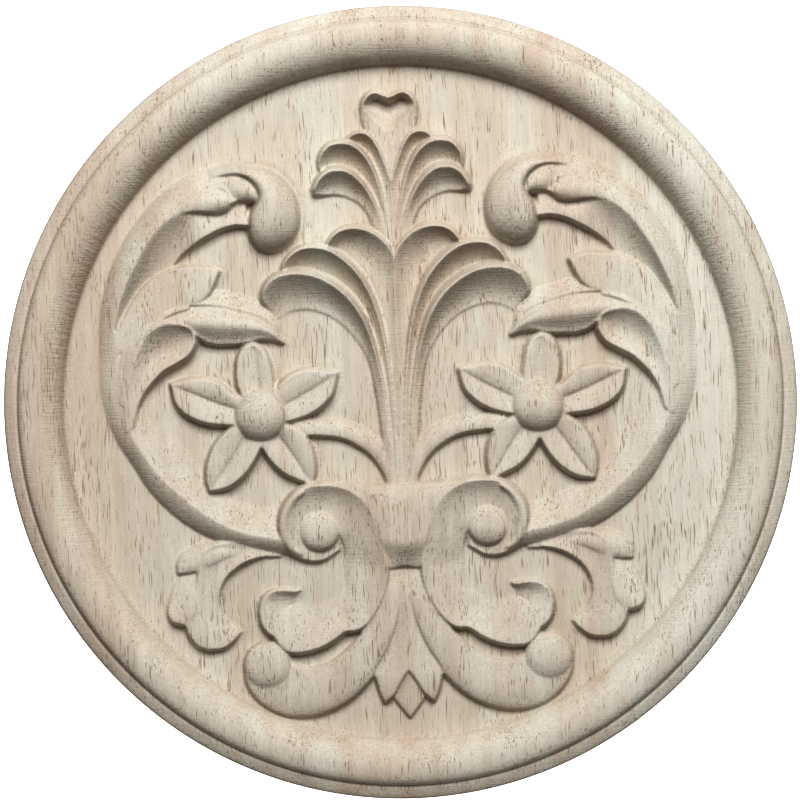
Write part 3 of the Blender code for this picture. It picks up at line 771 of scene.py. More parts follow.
@dataclass
class SLeaf:
    """The leaf below the volute, which rises from the ground to a bold lower edge, and its curl."""

    edge: float = 4.4

    def carve(self, relief: Relief) -> None:
        """Lays the leaf and its curl.

        Args:
            relief: The grid that is carved.
        """
        bold = self.edge
        relief.sheet(
            [
                (22.4, -60.8), (22.2, -63.4), (22.2, -66), (23, -69), (25.4, -71.4), (28.4, -73), (31.6, -74),
                (35, -74.4), (38.4, -74.6), (41.6, -75), (44.6, -76), (47, -78), (49, -81), (50.4, -85.6),
            ],
            [
                (6.3, -60.8), (6.7, -66), (8, -71), (10.4, -76), (13.6, -80.8), (17.6, -84.5), (21, -85.3),
                (23.8, -85.6), (28, -88.5), (33, -91), (39, -92.6), (44.4, -92.6), (48.2, -90), (50.8, -86),
            ],
            [0.4, 0.3, 0.2, *[0] * 6, 0.2, 0.8, 1.8, 3, 4],
            [5.2, 4.7, bold, bold, bold, bold, bold, bold, bold, bold, bold, bold, bold - 0.2, 3.8],
            [0, 0.4, 0.7, 0.6, 0.1, -0.4, -0.7, -0.8, -0.7, -0.4, 0, 0.3, 0.3, 0],
        )
        relief.sheet(
            [
                (40.2, -69.3), (42.4, -69.5), (45, -69.1), (48, -68.9), (51, -69.6), (53.4, -71.4),
                (55, -74.4), (55.4, -78), (54.6, -82), (52.6, -84.9), (50.7, -86.2),
            ],
            [
                (40.6, -70.2), (41.6, -71.8), (43, -73.4), (44.6, -74.8), (46, -76), (47.2, -77.2),
                (48.4, -78.6), (49.4, -80.2), (50, -82), (50.4, -84), (50.5, -86),
            ],
            [1.6, 2.8, 3.4, 3.8, *[4] * 5, 4.2, 4.2], [0.2, 0.2, 0.3, 0.6, 1, 1.6, 2.4, 3, 3.6, 4, 4.2],
            [1, 1.3, 1.6, 1.8, 1.8, 1.8, 1.6, 1.4, 1.2, 1, 1], Section.SCOOP,
        )


@dataclass
class LobedLeaf:
    """The outer leaf under the C: a bent stem with three round lobes."""

    height: float = 3.8

    def carve(self, relief: Relief) -> None:
        """Lays the stem and the lobes.

        Args:
            relief: The grid that is carved.
        """
        top = self.height
        relief.sheet(
            [
                (47, -56.4), (53, -56.1), (57, -56.7), (61, -58.1), (65, -60.7), (68, -63.6), (70, -67),
                (71, -71), (70.8, -75), (69, -79), (66, -82), (63, -84),
            ],
            [
                (47, -55), (54, -53), (62, -51), (70, -50.6), (75, -53), (77.4, -57), (78.4, -62), (79, -67),
                (79.6, -72), (79.6, -77), (74, -81), (63.4, -84.2),
            ],
            [1, 2, 2.8, 3.2, 3.2, 3, 2.8, 2.4, 2, 1.6, 1, 0.8],
            [1, 1.8, 2.4, 3, 3.4, 3.5, 3.4, 3.4, 3.4, 3.4, 3, 1],
            [0, -0.2, -0.4, -0.7, -0.9, -1, -1, -0.7, -0.3, 0, 0, 0],
        )
        relief.sheet(
            [(62, -55), (68, -56), (73, -58.4), (77, -60.2), (81, -61.2), (85.2, -61.6)],
            [(67, -50.4), (73.6, -50.2), (79, -51.4), (83.4, -53.6), (86.2, -57.2), (86.2, -61)],
            [2.4, 2.8, 2.8, 2.5, 2.2, 2], [1, 1.2, 1.4, 1.5, 1.4, 1.6], [0.6, 1, 1.2, 1.2, 1, 0.4],
        )
        relief.sheet(
            [(77, -62), (77.4, -65.4), (78, -69), (78.8, -73), (80.2, -77), (82.8, -80.8)],
            [(85.6, -62.4), (88, -67.2), (89.6, -72), (90.2, -76), (88.6, -79.4), (83.6, -81.1)],
            [2, 2.6, 3.2, 3.5, top, top], [0.8, 1.2, 1.8, 2.6, 3.6, top], [0, 0.2, 0.5, 0.6, 0.4, 0],
        )
        relief.sheet(
            [(63, -84), (65.4, -81.4), (69, -79), (73, -77.4), (77, -76.8), (80.4, -78.4), (83.3, -80.9)],
            [
                (63.1, -84.4), (65.6, -87.2), (69.4, -89.9), (74, -90.6), (78.6, -89.3), (82, -85.8),
                (83.6, -81.2),
            ],
            [0.6, 0.3, 0.5, 1.6, 2.8, 3.4, top], [1.6, 2.8, 3.2, 3.4, 3.5, 3.6, top],
            [0, 0.5, 0.8, 0.8, 0.6, 0.3, 0],
        )


@dataclass
class BottomCurl:
    """The band that leaves the clasp downwards and curls up to a ball."""

    ball: Point = (53.3, -97.6)
    ball_radius: float = 8.8

    def carve(self, relief: Relief) -> None:
        """Lays the band and the ball.

        Args:
            relief: The grid that is carved.
        """
        relief.sheet(
            [
                (6.2, -58), (8, -70), (11.4, -78), (15.4, -84.6), (20, -90), (25, -94.4), (30, -97.6),
                (35.4, -99), (40, -98.6), (44, -96.6), (47, -93.6), (50, -91.4), (53.4, -90),
            ],
            [
                (0.8, -58), (1.8, -73.4), (4.2, -84), (8, -93), (12.8, -102), (19.6, -109.3), (27.4, -114.4),
                (36, -117.1), (44, -117.2), (52, -114.6), (58.4, -109.4), (62, -102), (61.2, -94),
            ],
            [1.2, 3.4, 3.4, 3.2, 3, 2.8, 2.6, 2.6, 2.6, 2.4, 2.2, 2, 1.2],
            [1, 3, 2.8, 2.4, 2, 1.7, 1.5, 1.4, 1.4, 1.4, 1.6, 1.8, 1.4],
            [0.3, 0.5, 0.9, 1.2, 1.6, 1.9, 2, 2.1, 2.1, 2, 1.8, 1.4, 1], Section.ROUND, lean=1.7,
        )
        relief.dome(self.ball, self.ball_radius, 2.2, 3.4)


@dataclass
class Bud:
    """The hanging bud: a neck that widens, two side petals and a tip between them."""

    height: float = 3.4

    def carve(self, relief: Relief) -> None:
        """Cuts the side petals and lays the tip.

        Args:
            relief: The grid that is carved.
        """
        top = self.height
        relief.sheet(
            [
                (-0.6, -58), (-0.6, -72), (-0.6, -84), (-0.6, -94), (-0.1, -99.9), (2, -103.3), (4.2, -106.9),
                (6, -109.9), (9, -112.7),
            ],
            [
                (0.8, -58), (1.8, -73.4), (4.2, -84), (8, -93), (12, -99.4), (12.4, -102.8), (11.8, -106.3),
                (10.8, -109.5), (9.3, -112.7),
            ],
            [1.2, top, 3.2, 3.2, top, 3.6, 3.6, 3.4, 2.8], [0.8, 2.3, 2, 1.9, 2.2, 2.7, 2.8, 2.8, 2.8],
            [0.2, 0.3, 0.4, 0.5, 0.6, 0.6, 0.5, 0.3, 0], laying=Laying.CUT,
        )
        relief.sheet(
            [(-0.6, -97), (-0.6, -103), (-0.6, -111), (-0.6, -118.4)],
            [(0.6, -100.1), (5, -107.3), (5.4, -111.6), (0.2, -118.8)], [2.2, 2, 1.9, 1.6],
            [1.8, 1.7, 1.6, 1.6], 0.2,
        )


@dataclass
class Cutter:
    """A tapered ball-nosed cutter: it can't reach into a corner sharper than its own nose."""

    nose: float = 0.5
    taper: float = 16.0
    reach: float = 8.0
    softness: float = 0.3

    def shape(self) -> list[tuple[int, int, float]]:
        """Gives the cutter's height over its tip at each grid step around it.

        Returns:
            Steps up, steps along and the height, for each place.
        """
        angle = math.radians(self.taper)
        knee = self.nose * math.cos(angle)
        steps = math.ceil((self.nose + self.reach * math.tan(angle)) / GRID_STEP)
        found = []
        for up in range(-steps, steps + 1):
            for along in range(-steps, steps + 1):
                away = math.hypot(up, along) * GRID_STEP
                if away <= knee:
                    rise = self.nose - math.sqrt(self.nose**2 - away**2)
                else:
                    rise = self.nose * (1 - math.sin(angle)) + (away - knee) / math.tan(angle)
                if rise <= self.reach:
                    found.append((up, along, rise))
        return found

    def run_over(self, heights: np.ndarray) -> np.ndarray:
        """Gives the surface that the cutter leaves.

        Args:
            heights: The wanted surface.

        Returns:
            The surface with sloping walls, rounded feet and softened edges.
        """
        offsets = self.shape()
        margin = max(abs(up) for up, _, _ in offsets)
        rows, columns = heights.shape
        path = np.full(heights.shape, -np.inf)
        padded = np.pad(heights, margin, mode="edge")
        for up, along, rise in offsets:
            window = padded[margin + up : margin + up + rows, margin + along : margin + along + columns]
            np.maximum(path, window - rise, out=path)
        left = np.full(heights.shape, np.inf)
        padded = np.pad(path, margin, mode="edge")
        for up, along, rise in offsets:
            window = padded[margin + up : margin + up + rows, margin + along : margin + along + columns]
            np.minimum(left, window + rise, out=left)
        return soften(left, self.softness)


def soften(field: np.ndarray, distance: float) -> np.ndarray:
    """Blurs a field of the grid with a Gaussian.

    Args:
        field: Values on the grid.
        distance: The Gaussian's deviation in millimetres.

    Returns:
        The blurred values.
    """
    spread = distance / GRID_STEP
    reach = max(1, math.ceil(3 * spread))
    weights = np.exp(-0.5 * (np.arange(-reach, reach + 1) / spread) ** 2)
    weights /= weights.sum()
    for axis in (0, 1):
        pad = [(reach, reach) if axis == other else (0, 0) for other in (0, 1)]
        padded = np.pad(field, pad, mode="edge")
        size = field.shape[axis]
        field = sum(w * np.take(padded, range(step, step + size), axis) for step, w in enumerate(weights))
    return field


def linear(code: str) -> tuple[float, float, float, float]:
    """Turns an sRGB hex colour into the linear values that a shader takes.

    Args:
        code: Six hex digits.

    Returns:
        Red, green, blue and an alpha of 1.
    """
    parts = [int(code[i : i + 2], 16) / 255 for i in (0, 2, 4)]
    red, green, blue = (p / 12.92 if p <= 0.04045 else ((p + 0.055) / 1.055) ** 2.4 for p in parts)
    return red, green, blue, 1.0


def add_node(
    tree: bpy.types.NodeTree, kind: str, inputs: dict | None = None, **settings: object
) -> bpy.types.Node:
    """Adds a node with its settings and what goes into it.

    Args:
        tree: The node tree.
        kind: The node's Blender type name.
        inputs: By input name or number, either a value or the output socket that feeds it.
        **settings: Attributes of the node.

    Returns:
        The node.
    """
    node = tree.nodes.new(kind)
    for name, value in settings.items():
        setattr(node, name, value)
    for name, value in (inputs or {}).items():
        if isinstance(value, Socket):
            tree.links.new(value, node.inputs[name])
        else:
            node.inputs[name].default_value = value
    return node


@dataclass
class Sums:
    """Short ways of adding the nodes that the finish uses most, in one tree."""

    tree: bpy.types.NodeTree

    def total(self, value: Socket, times: float, plus: Socket | float) -> Socket:
        """Gives a value times a number, plus another.

        Args:
            value: The value.
            times: The number that it is multiplied by.
            plus: What is added.

        Returns:
            The sum.
        """
        return add_node(
            self.tree, "ShaderNodeMath", {0: value, 1: times, 2: plus}, operation="MULTIPLY_ADD"
        ).outputs[0]

    def product(self, value: Socket, *factors: Socket | float) -> Socket:
        """Gives a value times each factor.

        Args:
            value: The value.
            *factors: What it is multiplied by.

        Returns:
            The product.
        """
        for factor in factors:
            node = add_node(self.tree, "ShaderNodeMath", {0: value, 1: factor}, operation="MULTIPLY")
            value = node.outputs[0]
        return value

    def between(self, value: Socket, start: float, full: float) -> Socket:
        """Gives 0 where a value is at start or before it, rising to 1 at full.

        Args:
            value: The value.
            start: Where it begins to rise; it may be over full.
            full: Where it reaches 1.

        Returns:
            The share.
        """
        inputs = {"Value": value, "From Min": start, "From Max": full}
        return add_node(self.tree, "ShaderNodeMapRange", inputs).outputs[0]

    def scaled(self, place: Socket, scale: tuple[float, float, float]) -> Socket:
        """Gives a place with each of its coordinates scaled.

        Args:
            place: The place.
            scale: A factor for each coordinate.

        Returns:
            The scaled place.
        """
        return add_node(self.tree, "ShaderNodeMapping", {"Vector": place, "Scale": scale}).outputs[0]

    def noise(self, place: Socket, scale: float, detail: float, output: str = "Fac") -> Socket:
        """Gives noise at a place.

        Args:
            place: The place.
            scale: How many cells there are in a unit.
            detail: How many finer layers it has.
            output: Which output of the noise is wanted.

        Returns:
            The noise.
        """
        inputs = {"Vector": place, "Scale": scale, "Detail": detail}
        return add_node(self.tree, "ShaderNodeTexNoise", inputs).outputs[output]


@dataclass(frozen=True)
class RawRubberwood:
    """Bare plantation rubberwood, machine carved and lightly sanded, with no stain or varnish.

    The eye gets a pale cream ground with upright pinkish streaks, short dark pores that turn to dots
    on end grain, darker slopes with painted shade where they face down, painted shade and a little
    dust in corners, and the fine level lines that the cutter leaves on them. Lengths are in millimetres.
    """

    cream: str = "D4CCBF"
    pink: str = "CCBEB0"
    pale: str = "D9D6CB"
    pore: str = "9C8A77"
    # The colour of the painted shade, with a little dust, that darkens corners
    corner_shade_and_dust: str = "8C7A62"
    roughness: float = 0.72
    specular: float = 0.3
    bend_length: float = 22.0
    bend: float = 3.0
    pore_length: float = 11.0
    pore_width: float = 0.5
    pore_darkness: float = 0.85
    fuzz_size: float = 0.5
    # How much darker slopes get: rough end grain, and painted shade where they face down
    end_grain_and_shade: float = 0.19
    # How strongly corners take the painted shade and dust
    corner_shade_and_dust_darkness: float = 0.3
    step_over: float = 0.75
    mark_strength: float = 0.55
    mark_depth: float = 0.25

    def build(self) -> bpy.types.Material:
        """Makes the material.

        Returns:
            The material. It reads Object coordinates, and how steep the piece is at each point, how
            rough and down-facing, and how deep in a corner; the last two darken it as painted shade.
        """
        material = bpy.data.materials.new("raw_rubberwood")
        material.use_nodes = True
        tree = material.node_tree
        shader = tree.nodes["Principled BSDF"]
        shader.inputs["Roughness"].default_value = self.roughness
        shader.inputs["Specular IOR Level"].default_value = self.specular
        sums = Sums(tree)
        total, product, between = sums.total, sums.product, sums.between
        place = add_node(tree, "ShaderNodeTexCoord").outputs["Object"]
        slope, rough_and_shade, corner_shade_and_dust = (
            add_node(tree, "ShaderNodeAttribute", attribute_name=name).outputs["Fac"]
            for name in ("slope", "rough_and_shade", "corner_shade_and_dust")
        )
        parts = add_node(tree, "ShaderNodeSeparateXYZ", {0: place}).outputs

        # The grain wanders a little
        bend = sums.noise(place, 1 / (self.bend_length * MM), 1.0, "Color")
        reach = (self.bend * MM, self.bend * MM, 0.0)
        bent = add_node(
            tree, "ShaderNodeVectorMath", {0: bend, 1: reach, 2: place}, operation="MULTIPLY_ADD"
        ).outputs[0]

        def along_grain(width: float, length: float, detail: float) -> Socket:
            """Gives upright streaks.

            Args:
                width: Their width in millimetres.
                length: Their length in millimetres.
                detail: How many finer layers they have.

            Returns:
                The streaks' noise.
            """
            drawn = sums.scaled(bent, (1 / (width * MM), 1 / (width * MM), 1 / (length * MM)))
            inputs = {"Vector": drawn, "Scale": 1.0, "Detail": detail, "Roughness": 0.6}
            return add_node(tree, "ShaderNodeTexNoise", inputs).outputs["Fac"]

        # Wide streaks, over a slow change of tone that runs paler to the right
        wide_drift = total(along_grain(48, 700, 1), 0.5, total(parts["X"], -0.75, -0.05))
        ramp = add_node(tree, "ShaderNodeValToRGB", {"Fac": total(along_grain(9, 130, 4), 0.6, wide_drift)})
        stops = ramp.color_ramp.elements
        stops[0].position, stops[0].color = 0.34, linear(self.pale)
        stops[1].position, stops[1].color = 0.66, linear(self.pink)
        stops.new(0.5).color = linear(self.cream)
        fuzz = sums.noise(place, 1 / (self.fuzz_size * MM), 1.0)
        shade = total(along_grain(1.0, 34, 2), 0.26, total(fuzz, 0.38, 0.68))

        # Torn fibres on the steep side of the rim, where it faces down; the darkening they add to the colour
        # there is partly painted shade
        away = add_node(
            tree, "ShaderNodeVectorMath", {0: sums.scaled(place, (1.0, 0.0, 1.0))}, operation="LENGTH"
        ).outputs["Value"]
        turn = add_node(
            tree, "ShaderNodeMath", {0: parts["Z"], 1: parts["X"]}, operation="ARCTAN2"
        ).outputs[0]
        sweep = add_node(tree, "ShaderNodeCombineXYZ", {"X": turn, "Y": away}).outputs[0]
        torn_fibres_and_shade = product(
            sums.noise(sums.scaled(sweep, (110.0, 1 / (9 * MM), 1.0)), 1.0, 2.0),
            between(away, 127 * MM, 129 * MM),
            between(away, 137 * MM, 131 * MM),
            between(parts["Z"], -30 * MM, 30 * MM),
        )

        # Slopes are cut across the grain, which leaves them rough and darker; the darkening is strongest
        # where they face down, which is painted shade
        shade = product(shade, total(total(torn_fibres_and_shade, 0.7, rough_and_shade), -self.end_grain_and_shade, 1.0))
        body = add_node(
            tree, "ShaderNodeVectorMath", {0: ramp.outputs["Color"], "Scale": shade}, operation="SCALE"
        ).outputs[0]

        # Pores, which come in crowds, and painted shade with a little dust in the corners
        crowd = total(along_grain(7, 40, 1), 0.3, -0.15)
        cells = total(along_grain(self.pore_width, self.pore_length, 1), 1.0, crowd)
        pores = add_node(
            tree, "ShaderNodeMapRange",
            {"Value": cells, "From Min": 0.61, "From Max": 0.73, "To Max": self.pore_darkness},
        ).outputs[0]
        mixed = add_node(
            tree, "ShaderNodeMix", {"Factor": pores, 6: body, 7: linear(self.pore)}, data_type="RGBA"
        ).outputs[2]
        # Corners are multiplied darker: painted shade, with a little dust
        mixed = add_node(
            tree, "ShaderNodeMix",
            {"Factor": product(corner_shade_and_dust, self.corner_shade_and_dust_darkness), 6: mixed, 7: linear(self.corner_shade_and_dust)},
            data_type="RGBA", blend_type="MULTIPLY",
        ).outputs[2]
        tree.links.new(mixed, shader.inputs["Base Color"])

        # The cutter's level lines on slopes, and its chatter at the inner foot of the lower rim
        rows = sums.scaled(place, (1 / (11 * MM), 1 / (11 * MM), 1 / (self.step_over * MM)))
        rows = product(sums.noise(rows, 1.4, 1.0), slope)
        zone = total(parts["Z"], -2.5, sums.noise(place, 1 / (50 * MM), 1.0))
        spiral = total(turn, 620.0, total(away, 900.0, 0.0))
        ticks = product(
            add_node(tree, "ShaderNodeMath", {0: spiral}, operation="SINE").outputs[0],
            between(away, 123.5 * MM, 125.5 * MM),
            between(away, 130 * MM, 128 * MM),
            between(zone, 0.6, 0.72),
        )
        marks = total(pores, -0.25, along_grain(0.5, 4, 2))
        marks = total(rows, 1.3, total(ticks, 0.14, total(torn_fibres_and_shade, 3.2, marks)))
        bump = add_node(
            tree, "ShaderNodeBump",
            {"Height": marks, "Strength": self.mark_strength, "Distance": self.mark_depth * MM},
        )
        tree.links.new(bump.outputs["Normal"], shader.inputs["Normal"])
        return material


def carving_tree() -> bpy.types.NodeTree:
    """Makes the Geometry Nodes tree that lifts the flat front to its carved heights.

    Its inputs are the length, depth and seed of the slight waves that carving and sanding leave, and
    the finish. Each point's height over its place comes from the attribute "height".

    Returns:
        The node tree.
    """
    tree = bpy.data.node_groups.new("carve_front", "GeometryNodeTree")
    for name, kind in (
        ("Geometry", "Geometry"), ("Wave Length", "Float"), ("Wave Depth", "Float"), ("Seed", "Int"),
        ("Finish", "Material"),
    ):
        tree.interface.new_socket(name, in_out="INPUT", socket_type=f"NodeSocket{kind}")
    tree.interface.new_socket("Geometry", in_out="OUTPUT", socket_type="NodeSocketGeometry")
    given = add_node(tree, "NodeGroupInput").outputs
    height = add_node(
        tree, "GeometryNodeInputNamedAttribute", {"Name": "height"}, data_type="FLOAT"
    ).outputs["Attribute"]
    often = add_node(tree, "ShaderNodeMath", {0: 1.0, 1: given["Wave Length"]}, operation="DIVIDE").outputs[0]
    place = add_node(tree, "GeometryNodeInputPosition").outputs[0]
    waves = add_node(
        tree, "ShaderNodeTexNoise", {"Vector": place, "W": given["Seed"], "Scale": often, "Detail": 1.0},
        noise_dimensions="4D",
    ).outputs["Fac"]
    waves = add_node(tree, "ShaderNodeMath", {0: waves, 1: 0.5}, operation="SUBTRACT").outputs[0]
    waves = add_node(
        tree, "ShaderNodeMath", {0: waves, 1: given["Wave Depth"], 2: height}, operation="MULTIPLY_ADD"
    ).outputs[0]
    carved = add_node(
        tree, "FunctionNodeCompare", {0: height, 1: 0.0}, operation="NOT_EQUAL", data_type="FLOAT"
    ).outputs[0]
    waves = add_node(tree, "ShaderNodeMath", {0: waves, 1: -1.0}, operation="MULTIPLY").outputs[0]
    lift = add_node(tree, "ShaderNodeCombineXYZ", {"Y": waves}).outputs[0]
    moved = add_node(
        tree, "GeometryNodeSetPosition", {"Geometry": given["Geometry"], "Selection": carved, "Offset": lift}
    ).outputs[0]
    real = add_node(tree, "GeometryNodeRealizeInstances", {"Geometry": moved}).outputs[0]
    dressed = add_node(
        tree, "GeometryNodeSetMaterial", {"Geometry": real, "Material": given["Finish"]}
    ).outputs[0]
    add_node(tree, "NodeGroupOutput", {"Geometry": dressed})
    return tree


@dataclass
class Plaque:
    """The whole carved disc, meshed from the relief."""

    relief: Relief
    rim: Rim
    ring_step: float = 0.34
    most_triangles: int = 196000
    wave_length: float = 9.0
    wave_depth: float = 0.4
    wave_seed: int = 7
    back_edge: float = 1.5

    def plan(self) -> tuple[np.ndarray, np.ndarray]:
        """Spreads points over the disc in rings, each with six more points than the last.

        Returns:
            The points' plan positions, and the triangles between them.
        """
        rings = round(RADIUS / self.ring_step)
        places = [np.zeros((1, 2))]
        faces = []
        for ring in range(1, rings + 1):
            turn = np.arange(6 * ring) / (6 * ring) * 2 * math.pi
            places.append(np.stack([np.cos(turn), np.sin(turn)], 1) * RADIUS * ring / rings)
            start, before = 1 + 3 * ring * (ring - 1), 1 + 3 * (ring - 1) * (ring - 2)
            step = np.arange(6 * ring)
            sector, along = step // ring, step % ring
            last = max(6 * (ring - 1), 1)
            below = before * (ring > 1) + (sector * (ring - 1) + along) % last
            faces.append(np.stack([start + step, start + (step + 1) % (6 * ring), below], 1))
            keep = along < ring - 1
            beyond = before * (ring > 1) + (sector * (ring - 1) + along + 1) % last
            faces.append(np.stack([start + (step[keep] + 1) % (6 * ring), beyond[keep], below[keep]], 1))
        return np.concatenate(places), np.concatenate(faces)

    def front(self, x: np.ndarray, z: np.ndarray) -> np.ndarray:
        """Gives the front's height over the ground.

        Args:
            x: Positions across.
            z: Positions up.

        Returns:
            The heights there.
        """
        radius = np.hypot(x, z)
        carved = self.relief.at(self.relief.heights, x - CARVING_ASIDE, z - CARVING_UP)
        turned = self.rim.height(radius)
        inside = np.where(radius < COVE_START, carved, np.maximum(carved, turned))
        return np.where(radius > RIM_START, turned, inside)

    def mesh(self, finish: bpy.types.Material) -> bpy.types.Object:
        """Meshes the front, the side wall and the back, then lightens the mesh.

        Args:
            finish: The plaque's material.

        Returns:
            The plaque's object, at the origin.
        """
        plan, faces = self.plan()
        front = np.stack([plan[:, 0], np.zeros(len(plan)), plan[:, 1]], 1)
        count = 6 * round(RADIUS / self.ring_step)
        edge = np.arange(len(plan) - count, len(plan))
        wall = [edge]
        points = [front]
        total = len(front)
        for radius, back in ((RADIUS, BACK_CHAMFER), (RADIUS - BACK_CHAMFER, 0.0)):
            ring = plan[edge] * radius / RADIUS
            points.append(np.stack([ring[:, 0], np.full(count, -back), ring[:, 1]], 1))
            wall.append(np.arange(total, total + count))
            total += count
        points.append(np.zeros((1, 3)))
        sides = []
        for upper, lower in zip(wall, wall[1:]):
            after, beneath = np.roll(upper, -1), np.roll(lower, -1)
            sides.append(np.stack([upper, lower, beneath], 1))
            sides.append(np.stack([upper, beneath, after], 1))
        last = wall[-1]
        sides.append(np.stack([last, np.full(count, total), np.roll(last, -1)], 1))
        mesh = bpy.data.meshes.new("rosette_carving")
        corners = np.concatenate([faces, *sides])
        vertices = np.concatenate(points) * MM
        mesh.vertices.add(len(vertices))
        mesh.vertices.foreach_set("co", vertices.ravel())
        mesh.loops.add(corners.size)
        mesh.loops.foreach_set("vertex_index", corners.ravel())
        mesh.polygons.add(len(corners))
        mesh.polygons.foreach_set("loop_start", np.arange(0, corners.size, 3))
        mesh.update(calc_edges=True)
        height = np.zeros(len(vertices), np.float32)
        height[: len(front)] = (GROUND + self.front(plan[:, 0], plan[:, 1])) * MM
        mesh.attributes.new("height", "FLOAT", "POINT").data.foreach_set("value", height)
        piece = bpy.data.objects.new("rosette_carving", mesh)
        bpy.context.scene.collection.objects.link(piece)
        carving = piece.modifiers.new("carving", "NODES")
        carving.node_group = carving_tree()
        entries = carving.node_group.interface.items_tree
        sockets = {entry.name: entry.identifier for entry in entries if entry.in_out == "INPUT"}
        carving[sockets["Wave Length"]] = self.wave_length * MM
        carving[sockets["Wave Depth"]] = self.wave_depth * MM
        carving[sockets["Seed"]] = self.wave_seed
        carving[sockets["Finish"]] = finish
        lighter = piece.modifiers.new("lighter", "DECIMATE")
        lighter.ratio = self.most_triangles / len(corners)
        graph = bpy.context.evaluated_depsgraph_get()
        light = bpy.data.meshes.new_from_object(piece.evaluated_get(graph))
        piece.modifiers.clear()
        piece.data = light
        bpy.data.meshes.remove(mesh)
        light.name = "rosette_carving"
        light.attributes.remove(light.attributes["height"])
        light.shade_smooth()
        return piece

    def mark(self, piece: bpy.types.Object) -> None:
        """Stores, for the finish, how steep, how rough and down-facing, and how deep in a corner each point
        is.

        Args:
            piece: The plaque.
        """
        mesh = piece.data
        points = np.empty(len(mesh.vertices) * 3, np.float32)
        mesh.vertices.foreach_get("co", points)
        x, depth, z = points.reshape(-1, 3).T / MM
        grid_x, grid_z = np.meshgrid(self.relief.x, self.relief.z)
        whole = self.front(grid_x, grid_z)
        up, along = np.gradient(whole, GRID_STEP)
        steep = np.hypot(up, along)
        slope = soften(np.clip(steep * 1.6, 0, 1), 0.5)
        # Slopes that face down are darkest, as painted shade over the rough end grain, and walls are clean
        across = np.clip(np.where(up > 0, 1.5 * up, -0.6 * up), 0, 1) * np.clip(2.4 - steep, 0, 1)
        # Painted shade on down-facing slopes, over their real roughness
        rough_and_shade = soften(across * np.where(np.hypot(grid_x, grid_z) < COVE_START, 1.0, 0.3), 0.4)
        # Painted shade, with a little dust, in corners: how far a point lies under the blurred surface round
        # it
        corner_shade_and_dust = np.clip((soften(whole, 1.1) - whole) * 0.9 - 0.12, 0, 1)
        carved = depth < -self.back_edge
        for name, field in (("slope", slope), ("rough_and_shade", rough_and_shade), ("corner_shade_and_dust", soften(corner_shade_and_dust, 0.3))):
            layer = mesh.attributes.new(name, "FLOAT", "POINT")
            values = np.where(carved, self.relief.at(field, x, z), 0.0)
            layer.data.foreach_set("value", values.astype(np.float32))

    def dress(self, piece: bpy.types.Object) -> None:
        """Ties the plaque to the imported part.

        Args:
            piece: The plaque.
        """
        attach(piece, "root")
        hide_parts(NODE)


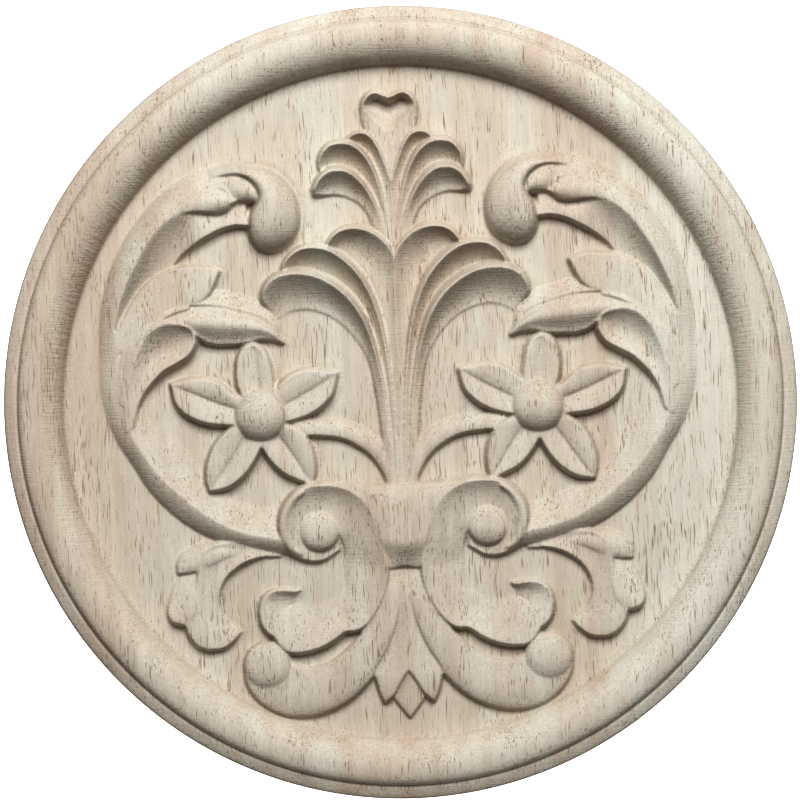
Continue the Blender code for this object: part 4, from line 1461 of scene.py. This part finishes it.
@dataclass
class Studio:
    """A pale floor, a bright backdrop, broad soft light from above the camera, and the camera."""

    floor_drop: float = 0.34
    floor_width: float = 1.6
    floor_front: float = -0.12
    floor_back: float = 1.2
    camera_distance: float = 1.5
    frame_width: float = 0.3028
    roll: float = 2.05
    sensor: float = 36.0
    shift: tuple[float, float] = (-0.0006, 0.0026)
    key_place: tuple[float, float, float] = (0.1, -1.18, 0.89)
    key_size: float = 0.8
    key_power: float = 17.3
    surround_lighting: float = 0.055
    surround_seen: float = 1.3

    def build(self) -> None:
        """Adds everything that isn't the plaque."""
        self.add_floor()
        self.add_world()
        self.add_light("key", self.key_place, self.key_size, self.key_power)
        self.add_camera()

    def add_floor(self) -> None:
        """Adds the plain floor, well below the plaque."""
        mesh = bpy.data.meshes.new("studio_floor")
        half, front, back = self.floor_width / 2, self.floor_front, self.floor_back
        corners = [(-half, front), (half, front), (half, back), (-half, back)]
        mesh.from_pydata([(x, y, -self.floor_drop) for x, y in corners], [], [(0, 1, 2, 3)])
        floor = bpy.data.objects.new("studio_floor", mesh)
        bpy.context.scene.collection.objects.link(floor)
        paper = bpy.data.materials.new("matt_white_paper")
        paper.use_nodes = True
        shader = paper.node_tree.nodes["Principled BSDF"]
        shader.inputs["Base Color"].default_value = linear("F4F3F1")
        shader.inputs["Roughness"].default_value = 0.9
        mesh.materials.append(paper)

    def add_world(self) -> None:
        """Adds a white surround that lights the plaque only a little."""
        world = bpy.data.worlds.new("white_surround")
        world.use_nodes = True
        tree = world.node_tree
        tree.nodes.clear()
        seen = add_node(tree, "ShaderNodeLightPath").outputs["Is Camera Ray"]
        levels = {"Value": seen, "To Min": self.surround_lighting, "To Max": self.surround_seen}
        strength = add_node(tree, "ShaderNodeMapRange", levels).outputs[0]
        glow = add_node(tree, "ShaderNodeBackground", {"Color": (1.0, 1.0, 1.0, 1.0), "Strength": strength})
        add_node(tree, "ShaderNodeOutputWorld", {"Surface": glow.outputs[0]})
        bpy.context.scene.world = world
        view = bpy.context.scene.view_settings
        view.view_transform, view.look = "Standard", "Very High Contrast"

    def add_light(self, name: str, place: tuple[float, float, float], size: float, power: float) -> None:
        """Adds a square soft light aimed at the middle of the plaque.

        Args:
            name: The light's name.
            place: Where it stands, in metres.
            size: Its side in metres.
            power: Its power in watts.
        """
        lamp = bpy.data.lights.new(name, "AREA")
        lamp.size = size
        lamp.energy = power
        light = bpy.data.objects.new(name, lamp)
        light.location = place
        light.rotation_euler = (-Vector(place)).to_track_quat("-Z", "Y").to_euler()
        bpy.context.scene.collection.objects.link(light)

    def add_camera(self) -> None:
        """Adds the camera, square to the plaque and turned a little about its own axis."""
        lens = bpy.data.cameras.new("camera")
        lens.sensor_width = self.sensor
        lens.lens = self.sensor * self.camera_distance / self.frame_width
        camera = bpy.data.objects.new("camera", lens)
        turned = Matrix.Rotation(math.radians(self.roll), 4, "Y") @ Matrix.Rotation(math.radians(90), 4, "X")
        camera.matrix_world = Matrix.Translation((0.0, -self.camera_distance - 0.015, 0.0)) @ turned
        lens.shift_x, lens.shift_y = self.shift
        bpy.context.scene.collection.objects.link(camera)
        bpy.context.scene.camera = camera


def main() -> None:
    """Builds the plaque and the studio, in order."""
    logging.basicConfig(level=logging.INFO, format="%(name)s: %(message)s")
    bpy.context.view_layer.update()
    relief, rim = Relief(), Rim()
    motifs = (
        Scroll(), Acanthus(), upper_palmette(), lower_palmette(), Finial(), Flower(), BottomCurl(), Bud(),
        Clasp(), Volute(), SLeaf(), LobedLeaf(),
    )
    for motif in motifs:
        motif.carve(relief)
        log.info("carved %s", type(motif).__name__)
    relief.mirror_strip()
    relief.heights = Cutter().run_over(relief.heights)
    plaque = Plaque(relief, rim)
    piece = plaque.mesh(RawRubberwood().build())
    plaque.mark(piece)
    plaque.dress(piece)
    log.info("meshed the plaque in %d triangles", len(piece.data.polygons))
    Studio().build()
    log.info("lit the plaque and set the camera")
    bpy.context.view_layer.update()


if __name__ == "__main__":
    main()
